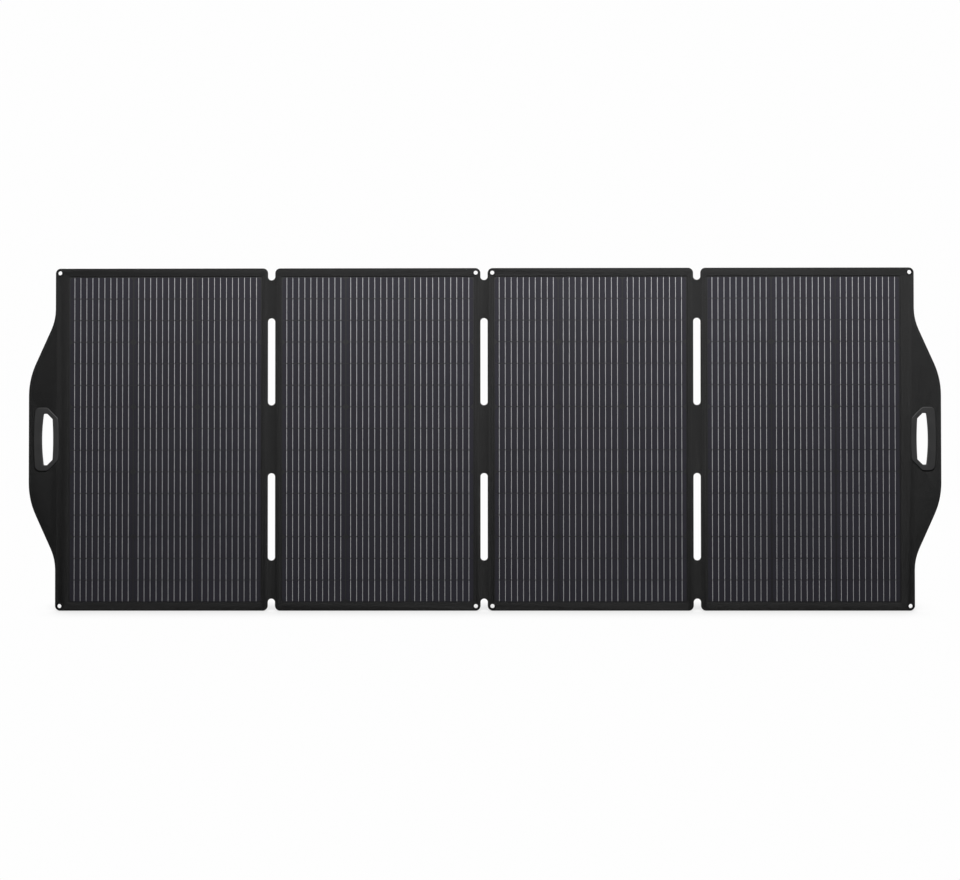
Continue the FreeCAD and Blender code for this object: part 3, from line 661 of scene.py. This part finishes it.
def fillet_path(corners, step=math.radians(6), closed=True):
    """Points along straight runs joined by tangent arcs; each corner is x, y and a radius."""
    count = len(corners)
    points = []
    for i, (x, y, radius) in enumerate(corners):
        here = Vector((x, y))
        if radius == 0 or (not closed and i in (0, count - 1)):
            points.append(here)
            continue
        into = (here - Vector(corners[i - 1][:2])).normalized()
        onward = (Vector(corners[(i + 1) % count][:2]) - here).normalized()
        turn = into.angle_signed(onward)
        reach = radius * math.tan(abs(turn) / 2)
        side = 1 if into.x * onward.y - into.y * onward.x > 0 else -1
        centre = here - into * reach + Vector((-into.y, into.x)) * side * radius
        spoke = here - into * reach - centre
        steps = max(2, int(abs(turn) / step))
        for k in range(steps + 1):
            angle = side * abs(turn) * k / steps
            turned = Vector((spoke.x * math.cos(angle) - spoke.y * math.sin(angle),
                             spoke.x * math.sin(angle) + spoke.y * math.cos(angle)))
            points.append(centre + turned)
    return points


def flat_curve(name, paths, closed=True):
    """A flat curve on the drawing board, one spline for each path."""
    data = bpy.data.curves.new(name, "CURVE")
    data.dimensions = "2D"
    for path in paths:
        spline = data.splines.new("POLY")
        spline.points.add(len(path) - 1)
        for point, where in zip(spline.points, path):
            point.co = (where.x, where.y, 0, 1)
        spline.use_cyclic_u = closed
    piece = bpy.data.objects.new(name, data)
    bpy.context.scene.collection.objects.link(piece)
    return piece


def one_stitch(length, half):
    """One stitch: a short thread that rises from one needle hole and sinks into the next."""
    bpy.ops.object.select_all(action="DESELECT")
    bpy.ops.mesh.primitive_cube_add(size=1, location=(0, 0, 0))
    stitch = bpy.context.active_object
    stitch.scale = (length, 2 * half, half)
    bpy.ops.object.transform_apply(scale=True)
    bpy.ops.object.mode_set(mode="EDIT")
    bpy.ops.mesh.select_all(action="SELECT")
    bpy.ops.mesh.subdivide(number_cuts=1)
    bpy.ops.object.mode_set(mode="OBJECT")
    for vertex in stitch.data.vertices:
        share = abs(vertex.co.x) / (length / 2)
        vertex.co.z = vertex.co.z * (1.2 - 0.6 * share) - half * 0.7 * share
        vertex.co.y *= 1.0 - 0.35 * share
    return stitch


def stitch_row(path, lift, closed=True, facing=1):
    """A row of stitches along a path, lying on a face of the drawing board at a given height."""
    size = sizes()
    curve = flat_curve("stitch_line", [path], closed)
    length = sum((path[i] - path[i - 1]).length for i in range(0 if closed else 1, len(path)))
    count = max(2, round(length / size.stitch_pitch))
    stitch = one_stitch(size.stitch_length, size.thread_half)
    repeat(stitch, count, (length / count, 0, 0))
    bend = stitch.modifiers.new("bend", "CURVE")
    bend.object = curve
    apply_all(stitch)
    bpy.data.objects.remove(curve)
    for vertex in stitch.data.vertices:
        vertex.co.z = lift + facing * vertex.co.z
    if facing < 0:
        only(stitch)
        bpy.ops.object.mode_set(mode="EDIT")
        bpy.ops.mesh.select_all(action="SELECT")
        bpy.ops.mesh.flip_normals()
        bpy.ops.object.mode_set(mode="OBJECT")
    return stitch


def box_cross(x, low, high, lift, facing):
    """The rows of a boxed cross inside a strap's tab."""
    left = x - STRAP_HALF + TAB_SEAM
    right = x + STRAP_HALF - TAB_SEAM
    low += TAB_SEAM
    high -= TAB_SEAM
    frame_row = [Vector(p) for p in ((left, low), (right, low), (right, high), (left, high))]
    slants = ([Vector((left, low)), Vector((right, high))], [Vector((left, high)), Vector((right, low))])
    return [stitch_row(frame_row, lift, facing=facing)] + [
        stitch_row(slant, lift, closed=False, facing=facing) for slant in slants]


def rivet_head(x, y, z, facing):
    """A low domed head standing on a face of the drawing board."""
    bpy.ops.object.select_all(action="DESELECT")
    bpy.ops.mesh.primitive_cylinder_add(vertices=20, radius=RIVET_RADIUS, depth=RIVET_HEIGHT,
                                        location=(x, y, z + facing * RIVET_LIFT))
    head = bpy.context.active_object
    select_faces(head, lambda normal: normal.z * facing > 0.9)
    bpy.ops.mesh.bevel(offset=RIVET_ROUND, segments=4, affect="EDGES")
    bpy.ops.object.mode_set(mode="OBJECT")
    head.data.transform(Matrix.Translation(head.location))
    head.location = (0, 0, 0)
    return head


# ---- outlines ----

# Each panel's side of the centre fold, and how far its inner and outer edges are from it.
PANELS = {
    1: (-1, FOLD + GAP, EDGE),
    2: (-1, GAP, FOLD - GAP),
    3: (1, GAP, FOLD - GAP),
    4: (1, FOLD + GAP, EDGE),
}


def cell_start(number):
    """Centre fold to the nearest edge of a panel's cells."""
    return FOLD + FOLD_MARGIN if number in (1, 4) else FOLD_MARGIN


def panel_path(number, inset=0.0):
    """A panel's outline on the drawing board, moved inwards by an inset."""
    side, inner, outer = PANELS[number]
    low = inset
    high = HEIGHT - inset
    round_off = max(CORNER_ROUND - inset, LEAST_ROUND)
    near = inner + inset
    far = outer - inset
    corners = [(near, low, round_off), (far, low, round_off)]
    if number in (1, 4):
        slant = inset * math.tan(math.atan(WING_REACH / (WING_ROOT - WING_SHOULDER)) / 2)
        tip = outer + WING_REACH - inset
        root = WING_ROOT - slant
        shoulder = WING_SHOULDER - slant
        corners += [
            (far, MIDDLE - root, ROOT_ROUND + inset),
            (tip, MIDDLE - shoulder, SHOULDER_ROUND - inset),
            (tip, MIDDLE + shoulder, SHOULDER_ROUND - inset),
            (far, MIDDLE + root, ROOT_ROUND + inset),
        ]
    corners += [(far, high, round_off), (near, high, round_off)]
    return fillet_path([(side * x, y, r) for x, y, r in corners])


def window_path(number, outset):
    """The outline of the window in a panel's front cover, moved outwards by an outset."""
    side = PANELS[number][0]
    start = cell_start(number) - WINDOW_MARGIN - outset
    end = cell_start(number) + BLOCK + WINDOW_MARGIN + outset
    low = CELL_FLOOR - WINDOW_MARGIN - outset
    turn = WINDOW_ROUND + outset
    corners = [(start, low), (end, low), (end, HEIGHT - low), (start, HEIGHT - low)]
    return fillet_path([(side * x, y, turn) for x, y in corners])


def free_runs(number):
    """The free edge as open paths: round each end of the panel, and beside each slot."""
    side, inner, outer = PANELS[number]
    near = side * (inner + BINDING_INSET)
    far = side * (outer - BINDING_INSET)
    stop = NOTCH - BINDING_LAP
    turn = CORNER_ROUND - BINDING_INSET
    runs = []
    slots = [near]
    if number in (2, 3):
        slots.append(far)
        for y, way in ((BINDING_INSET, 1), (HEIGHT - BINDING_INSET, -1)):
            end = y + way * stop
            runs.append(fillet_path([(near, end, 0), (near, y, turn), (far, y, turn), (far, end, 0)],
                                    closed=False))
    else:
        whole = panel_path(number, BINDING_INSET)
        begin = Vector((near, BINDING_INSET + turn))
        first = min(range(len(whole)), key=lambda i: (whole[i] - begin).length)
        ordered = whole[first:] + whole[:first]
        start = Vector((near, stop))
        end = Vector((near, HEIGHT - stop))
        runs.append([start] + ordered + [end])
    for x in slots:
        for way in (-1, 1):
            low = MIDDLE + way * (SLOT_NEAR + BINDING_LAP)
            high = MIDDLE + way * (SLOT_FAR - BINDING_LAP)
            runs.append([Vector((x, low)), Vector((x, (low + high) / 2)), Vector((x, high))])
    return runs


# ---- operators ----

class MAT_OT_stage(bpy.types.Operator):
    """Set up the camera, the pale floor and the soft lights"""

    bl_idname = "solar_mat.stage"
    bl_label = "Stage"

    def execute(self, context):
        """Lay the floor, hang the lamps and place the camera."""
        scene = context.scene
        scene.view_settings.view_transform = "Standard"
        bpy.ops.object.select_all(action="DESELECT")
        bpy.ops.mesh.primitive_plane_add(size=FLOOR_SIZE, location=(0, 0, 0))
        floor = context.active_object
        floor.name = "floor"
        floor.visible_diffuse = False
        floor.visible_glossy = False
        dress(floor, floor_material())

        scene.world = self.sky()
        targets = {"top": MAT @ Vector((0, HEIGHT, 0)), "foot": MAT @ Vector((0, 0, -THICK))}
        for name, place, target, size, power in LAMPS:
            data = bpy.data.lights.new(name, "AREA")
            data.shape = "RECTANGLE"
            data.size, data.size_y = size
            data.energy = power
            lamp = bpy.data.objects.new(name, data)
            lamp.location = place
            aim = targets[target] - Vector(place)
            lamp.rotation_euler = aim.to_track_quat("-Z", "Y").to_euler()
            scene.collection.objects.link(lamp)
        scene.camera = self.camera()
        return {"FINISHED"}

    def sky(self):
        """A white backdrop that lights the mat only softly, so that black fabric stays black."""
        world = bpy.data.worlds.new("studio")
        world.use_nodes = True
        tree = world.node_tree
        backdrop = tree.nodes["Background"]
        backdrop.inputs["Color"].default_value = (BACKDROP, BACKDROP, BACKDROP, 1)
        fill = tree.nodes.new("ShaderNodeBackground")
        fill.inputs["Color"].default_value = (1, 1, 1, 1)
        fill.inputs["Strength"].default_value = FILL
        seen = tree.nodes.new("ShaderNodeLightPath")
        choose = tree.nodes.new("ShaderNodeMixShader")
        tree.links.new(seen.outputs["Is Camera Ray"], choose.inputs["Fac"])
        tree.links.new(fill.outputs["Background"], choose.inputs[1])
        tree.links.new(backdrop.outputs["Background"], choose.inputs[2])
        tree.links.new(choose.outputs["Shader"], tree.nodes["World Output"].inputs["Surface"])
        return world

    def camera(self):
        """A long lens square on to the mat, a little to its right."""
        data = bpy.data.cameras.new("camera")
        data.lens = CAMERA_LENS
        data.sensor_width = CAMERA_SENSOR
        camera = bpy.data.objects.new("camera", data)
        bpy.context.scene.collection.objects.link(camera)
        azimuth = math.radians(CAMERA_TURN)
        rise = LEAN - math.radians(CAMERA_DROP)
        back = Vector((math.sin(azimuth) * math.cos(rise), -math.cos(azimuth) * math.cos(rise),
                       math.sin(rise)))
        distance = CAMERA_WIDTH * data.lens / data.sensor_width
        target = MAT @ CAMERA_TARGET
        roll = Matrix.Rotation(math.radians(CAMERA_ROLL), 4, "Z")
        aim = (-back).to_track_quat("-Z", "Y").to_matrix().to_4x4()
        camera.matrix_world = Matrix.Translation(target + back * distance) @ aim @ roll
        return camera


class MAT_OT_covers(bpy.types.Operator):
    """Cut the front and back fabric of each panel, bind its free edges and sew its hems"""

    bl_idname = "solar_mat.covers"
    bl_label = "Fabric covers"

    def execute(self, context):
        """Work through the panels from left to right."""
        size = sizes()
        for number in PANELS:
            body = "panel_%d" % number
            for face in ("front", "back"):
                node = "%s_%s_cover" % (body, face)
                piece = tailored(node, "%s_%s_fabric" % (body, face), size.edge_round)
                dress(piece, fabric())
                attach(piece, body)
                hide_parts(node)
                if face == "back":
                    self.declare(piece, number)
            self.bind(number)
            self.sew(number)
            dress(NODES[body + "_edge_band"], fabric())
        return {"FINISHED"}

    def declare(self, piece, number):
        """Nothing is done to the back cover here; the panel's side and edges are read and left unused."""
        side, inner, outer = PANELS[number]

    def bind(self, number):
        """A rolled edge round the free edges, oval in section."""
        size = sizes()
        curve = flat_curve("binding_line", free_runs(number), closed=False)
        curve.data.dimensions = "3D"
        profile = bpy.data.curves.new("binding_profile", "CURVE")
        profile.dimensions = "2D"
        oval = profile.splines.new("POLY")
        steps = 14
        oval.points.add(steps - 1)
        for i in range(steps):
            angle = 2 * math.pi * i / steps
            oval.points[i].co = (size.binding_half * math.cos(angle),
                                 (THICK / 2 + size.binding_proud) * math.sin(angle), 0, 1)
        oval.use_cyclic_u = True
        section = bpy.data.objects.new("binding_profile", profile)
        curve.data.bevel_mode = "OBJECT"
        curve.data.bevel_object = section
        curve.data.use_fill_caps = True
        curve.data.twist_mode = "Z_UP"
        only(curve)
        bpy.ops.object.convert(target="MESH")
        piece = rename(bpy.context.active_object, "panel_%d_edge_binding" % number)
        bpy.data.objects.remove(section)
        put(piece, MAT @ Matrix.Translation((0, 0, -THICK / 2)))
        outward(piece)
        smooth(dress(piece, fabric()), 60)
        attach(piece, "panel_%d" % number)

    def sew(self, number):
        """Stitch the hem and the window seam through both faces."""
        hem = panel_path(number, sizes().hem_inset)
        seam = window_path(number, WINDOW_SEAM)
        rows = [
            stitch_row(hem, 0.0),
            stitch_row(seam, 0.0),
            stitch_row(hem, -THICK, facing=-1),
            stitch_row(seam, -THICK, facing=-1),
        ]
        piece = join(rows, "panel_%d_stitching" % number)
        put(piece, MAT)
        dress(piece, thread())
        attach(piece, "panel_%d" % number)


class MAT_OT_cells(bpy.types.Operator):
    """Finish the cells, backing and film, and lay the tinned ribbons cell by cell"""

    bl_idname = "solar_mat.cells"
    bl_label = "Cells and ribbons"

    def execute(self, context):
        """Work through the panels from left to right."""
        for number in PANELS:
            body = "panel_%d" % number
            dress(NODES[body + "_cells"], material("cell", cell_material))
            dress(NODES[body + "_board"], material("backing", backing_material))
            dress(NODES[body + "_film"], material("film", film_material))
            self.ribbons(number)
        return {"FINISHED"}

    def ribbons(self, number):
        """Ten ribbons to a column, each dipping behind the cell where two cells meet."""
        side = PANELS[number][0]
        left = cell_start(number) if side > 0 else -cell_start(number) - BLOCK
        first = left + CELL_WIDTH / 2 - (RIBBONS - 1) / 2 * RIBBON_PITCH
        flat = THIRD - RIBBON_GAP
        bpy.ops.object.select_all(action="DESELECT")
        bpy.ops.mesh.primitive_cube_add(size=1, location=(0, 0, 0))
        ribbon = bpy.context.active_object
        ribbon.scale = (RIBBON_WIDTH, flat, CELL_DEPTH - RIBBON_DEPTH - RIBBON_CLEAR)
        bpy.ops.object.transform_apply(scale=True)
        for way in (-1, 1):
            select_faces(ribbon, lambda normal: normal.y * way > 0.9)
            bpy.ops.mesh.extrude_region_move(
                TRANSFORM_OT_translate={"value": (0, way * RIBBON_DIP, -RIBBON_SINK)})
            bpy.ops.object.mode_set(mode="OBJECT")
        repeat(ribbon, RIBBONS, (RIBBON_PITCH, 0, 0))
        repeat(ribbon, COLUMNS, (CELL_PITCH, 0, 0))
        repeat(ribbon, ROWS, (0, ROW_PITCH, 0))
        apply_all(ribbon)
        rename(ribbon, "panel_%d_ribbon_set" % number)
        depth = (CELL_DEPTH + RIBBON_DEPTH) / 2
        put(ribbon, MAT @ Matrix.Translation((first, CELL_FLOOR + THIRD / 2, -depth)))
        outward(ribbon)
        dress(ribbon, material("ribbon", ribbon_material))
        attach(ribbon, "panel_%d" % number)
        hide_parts("panel_%d_ribbons" % number)


class MAT_OT_folds(bpy.types.Operator):
    """Sew the fabric webs that join the panels, rounded where they end at a slot or a notch"""

    bl_idname = "solar_mat.folds"
    bl_label = "Folds"

    def execute(self, context):
        """Make each fold's webs and flat conductors."""
        folds = (("left", -FOLD, "panel_2", "panel_1", -1), ("centre", 0.0, "panel_2", "panel_3", 1),
                 ("right", FOLD, "panel_3", "panel_4", 1))
        for name, place, parent, child, way in folds:
            webs = [
                self.web(place, NOTCH, MIDDLE - SLOT_FAR),
                self.web(place, MIDDLE - SLOT_NEAR, MIDDLE + SLOT_NEAR),
                self.web(place, MIDDLE + SLOT_FAR, HEIGHT - NOTCH),
            ]
            piece = join(webs, "fold_%s_fabric" % name)
            put(piece, MAT)
            outward(piece)
            smooth(dress(piece, fabric()), 50)
            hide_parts("fold_%s_webs" % name)
            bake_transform(piece)
            strips = join([self.strip(place, row) for row in (-1, 1)], "fold_%s_flat_copper" % name)
            put(strips, MAT)
            outward(strips)
            dress(strips, material("copper", brushed, "flat_copper", colours().copper, 0.35))
            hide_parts("fold_%s_conductors" % name)
            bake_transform(strips)
        return {"FINISHED"}

    def strip(self, place, row):
        """One flat conductor, made in short lengths."""
        reach = FOLD_MARGIN - WINDOW_MARGIN - FILM_MARGIN
        bpy.ops.object.select_all(action="DESELECT")
        bpy.ops.mesh.primitive_grid_add(x_subdivisions=36, y_subdivisions=2, size=2, location=(0, 0, 0))
        strip = bpy.context.active_object
        for vertex in strip.data.vertices:
            vertex.co = (place + vertex.co.x * reach, MIDDLE + row * LINK_SPREAD
                         + vertex.co.y * LINK_WIDTH / 2, -THICK / 2 + LINK_THICK / 2)
        thicken(LINK_THICK)
        return strip

    def web(self, place, low, high):
        """One web: closed fabric, full thickness at the panels and dipped along the fold."""
        along = max(8, int((high - low) / WEB_STEP))
        bpy.ops.object.select_all(action="DESELECT")
        bpy.ops.mesh.primitive_grid_add(x_subdivisions=24, y_subdivisions=along, size=2,
                                        location=(0, 0, 0))
        web = bpy.context.active_object
        reach = GAP + WEB_LAP
        dip = sizes().fold_dip
        for vertex in web.data.vertices:
            x = reach * math.sin(vertex.co.x * math.pi / 2)
            inside = min(abs(x), GAP)
            bow = GAP - math.sqrt(max(GAP * GAP - inside * inside, 0.0))
            y = (low + high) / 2 + vertex.co.y * ((high - low) / 2 + bow)
            vertex.co = (place + x, y, -dip * (1 - (x / reach) ** 2))
        thicken(THICK)
        for vertex in web.data.vertices:
            if vertex.co.z < -THICK / 2:
                x = vertex.co.x - place
                vertex.co.z = -THICK + dip * (1 - (x / reach) ** 2)
        outward(web)
        round_edges(web, WEB_ROUND, 50)
        return apply_all(web)


class MAT_OT_handles(bpy.types.Operator):
    """Finish the grip rings and the eyelets"""

    bl_idname = "solar_mat.handles"
    bl_label = "Grips and eyelets"

    def execute(self, context):
        """Give the rings their soft grain and round the edges of the eyelets."""
        grip = material("grip", moulded, "soft_grip", colours().grip, 0.55, 1500.0, 0.00012)
        for side in ("left", "right"):
            for face in ("front", "back"):
                dress(weld_node("handle_%s_%s_ring" % (side, face)), grip)
        steel = material("eyelet", brushed, "eyelet_steel", colours().metal, 0.35, (400, 400, 400))
        for number in PANELS:
            soften_node("panel_%d_eyelets" % number, steel, 0.00035)
        return {"FINISHED"}


class MAT_OT_stands(bpy.types.Operator):
    """Finish the two legs, their hinges and feet, and sew their limiting straps"""

    bl_idname = "solar_mat.stands"
    bl_label = "Legs"

    def execute(self, context):
        """Finish the left leg, then the right."""
        for side in ("left", "right"):
            board = leg_matrix(side)
            for part in ("hinge_base", "hinge_pin", "hinge_leaf"):
                soften_node("stand_%s_%s" % (side, part), hinge_steel(), 0.0003)
            soften_node("stand_%s_foot" % side, foot_rubber(), 0.0012)
            cloth = material("leg_" + side, woven, "leg_fabric_" + side, colours().fabric,
                             THREAD_PITCH, 0.56, board)
            soften_node("stand_%s_leg" % side, cloth, 0.0006)
            self.sew_leg(side, board)
            self.rivets(side, board)
            self.strap(side)
            self.sew_tabs(side, board)
        return {"FINISHED"}

    def rivets(self, side, board):
        """Domed rivets: four through the mat's hinge plate and four through the leg and its leaf."""
        x = pin_place(side).x
        plate = [(x + step, PIN_UP + RIVET_DROP, -THICK - LEAF_THICK, -1) for step in RIVET_ACROSS]
        leg = [(step, -RIVET_DROP, -LEG_THICK, -1) for step in RIVET_ACROSS]
        leg += [(step, -RIVET_DROP, LEAF_THICK, 1) for step in RIVET_ACROSS]
        sets = (("plate", OUTER_PANEL[side], MAT, plate), ("leg", "stand_" + side, board, leg))
        for name, body, matrix, places in sets:
            heads = [rivet_head(*place) for place in places]
            piece = put(join(heads, "stand_%s_%s_rivets" % (side, name)), matrix)
            outward(piece)
            smooth(dress(piece, hinge_steel()), 40)
            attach(piece, body)

    def sew_tabs(self, side, board):
        """Boxed crosses of stitches through the strap's two tabs."""
        top = PIN_UP - STRAP_LOW
        tabs = (
            ("mat", OUTER_PANEL[side], MAT,
             box_cross(pin_place(side).x, top - STRAP_TAB, top, -THICK - STRAP_THICK, -1)),
            ("leg", "stand_" + side, board,
             box_cross(0, -STRAP_LEG - STRAP_TAB, -STRAP_LEG, STRAP_THICK, 1)),
        )
        for name, body, matrix, rows in tabs:
            piece = put(join(rows, "stand_%s_%s_tab_stitching" % (side, name)), matrix)
            dress(piece, thread())
            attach(piece, body)

    def sew_leg(self, side, board):
        """A hem of stitches down both faces of the leg, from the hinge to just above the foot."""
        start = -LEG_START - LEG_SEAM
        steep = (board.to_3x3() @ Vector((0, 1, 0))).z
        end = (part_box("stand_%s_foot" % side)[1].z - pin_place(side).z) / steep + LEG_SEAM_LIFT
        top = LEG_TOP - LEG_SEAM
        foot = LEG_FOOT - LEG_SEAM
        path = fillet_path([
            (-top, start, LEG_SEAM_ROUND), (-foot, end, LEAST_ROUND),
            (foot, end, LEAST_ROUND), (top, start, LEG_SEAM_ROUND)])
        rows = [stitch_row(path, 0.0), stitch_row(path, -LEG_THICK, facing=-1)]
        piece = put(join(rows, "stand_%s_stitching" % side), board)
        dress(piece, thread())
        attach(piece, "stand_" + side)

    def strap(self, side):
        """The strap is cut to its node's outline with rounded edges, rides on the panel, and gets a mesh
        of its own.
        """
        node = "stand_%s_strap" % side
        piece = tailored(node, "stand_%s_webbing" % side, 0.0004, 1)
        dress(piece, material("webbing", webbing_material))
        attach(piece, OUTER_PANEL[side])
        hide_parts(node)
        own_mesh(piece)


class MAT_OT_junction_box(bpy.types.Operator):
    """Finish the junction box on the back"""

    bl_idname = "solar_mat.junction_box"
    bl_label = "Junction box"

    def execute(self, context):
        """Round the edges of each part and give it its finish."""
        shell = material("shell", moulded, "box_shell", colours().shell, 0.48, 1800.0, 0.0001)
        circuit = material("circuit", moulded, "circuit_board", colours().circuit, 0.4)
        soften_node("junction_box_tray", shell, 0.0006)
        soften_node("junction_box_lid", shell, 0.0008)
        soften_node("junction_box_socket", shell, 0.0004)
        soften_node("junction_box_seal", foot_rubber(), 0.0002)
        soften_node("junction_box_screws", hinge_steel(), 0.0003)
        soften_node("junction_box_circuit", circuit, 0.0002)
        return {"FINISHED"}


STEPS = (MAT_OT_stage, MAT_OT_covers, MAT_OT_cells, MAT_OT_folds, MAT_OT_handles, MAT_OT_stands,
         MAT_OT_junction_box)


class MAT_PT_panel(bpy.types.Panel):
    """The steps that build the solar mat's looks"""

    bl_label = "Solar Mat"
    bl_idname = "MAT_PT_panel"
    bl_space_type = "VIEW_3D"
    bl_region_type = "UI"
    bl_category = "Solar Mat"

    def draw(self, context):
        """A button for each step, then the sizes and colours."""
        for step in STEPS:
            self.layout.operator(step.bl_idname)
        for group in (context.scene.mat_sizes, context.scene.mat_colours):
            for name in group.bl_rna.properties.keys():
                if name not in ("rna_type", "name"):
                    self.layout.prop(group, name)


CLASSES = (MatSizes, MatColours) + STEPS + (MAT_PT_panel,)


def register():
    """Add the operators, the panel and the settings."""
    for item in CLASSES:
        bpy.utils.register_class(item)
    bpy.types.Scene.mat_sizes = PointerProperty(type=MatSizes)
    bpy.types.Scene.mat_colours = PointerProperty(type=MatColours)


def unregister():
    """Take them away again."""
    del bpy.types.Scene.mat_colours
    del bpy.types.Scene.mat_sizes
    for item in reversed(CLASSES):
        bpy.utils.unregister_class(item)


def main():
    """Run every step in order."""
    register()
    bpy.ops.object.select_all(action="DESELECT")
    for step in STEPS:
        name = step.bl_idname.split(".")[1]
        getattr(bpy.ops.solar_mat, name)()


if __name__ == "__main__":
    main()
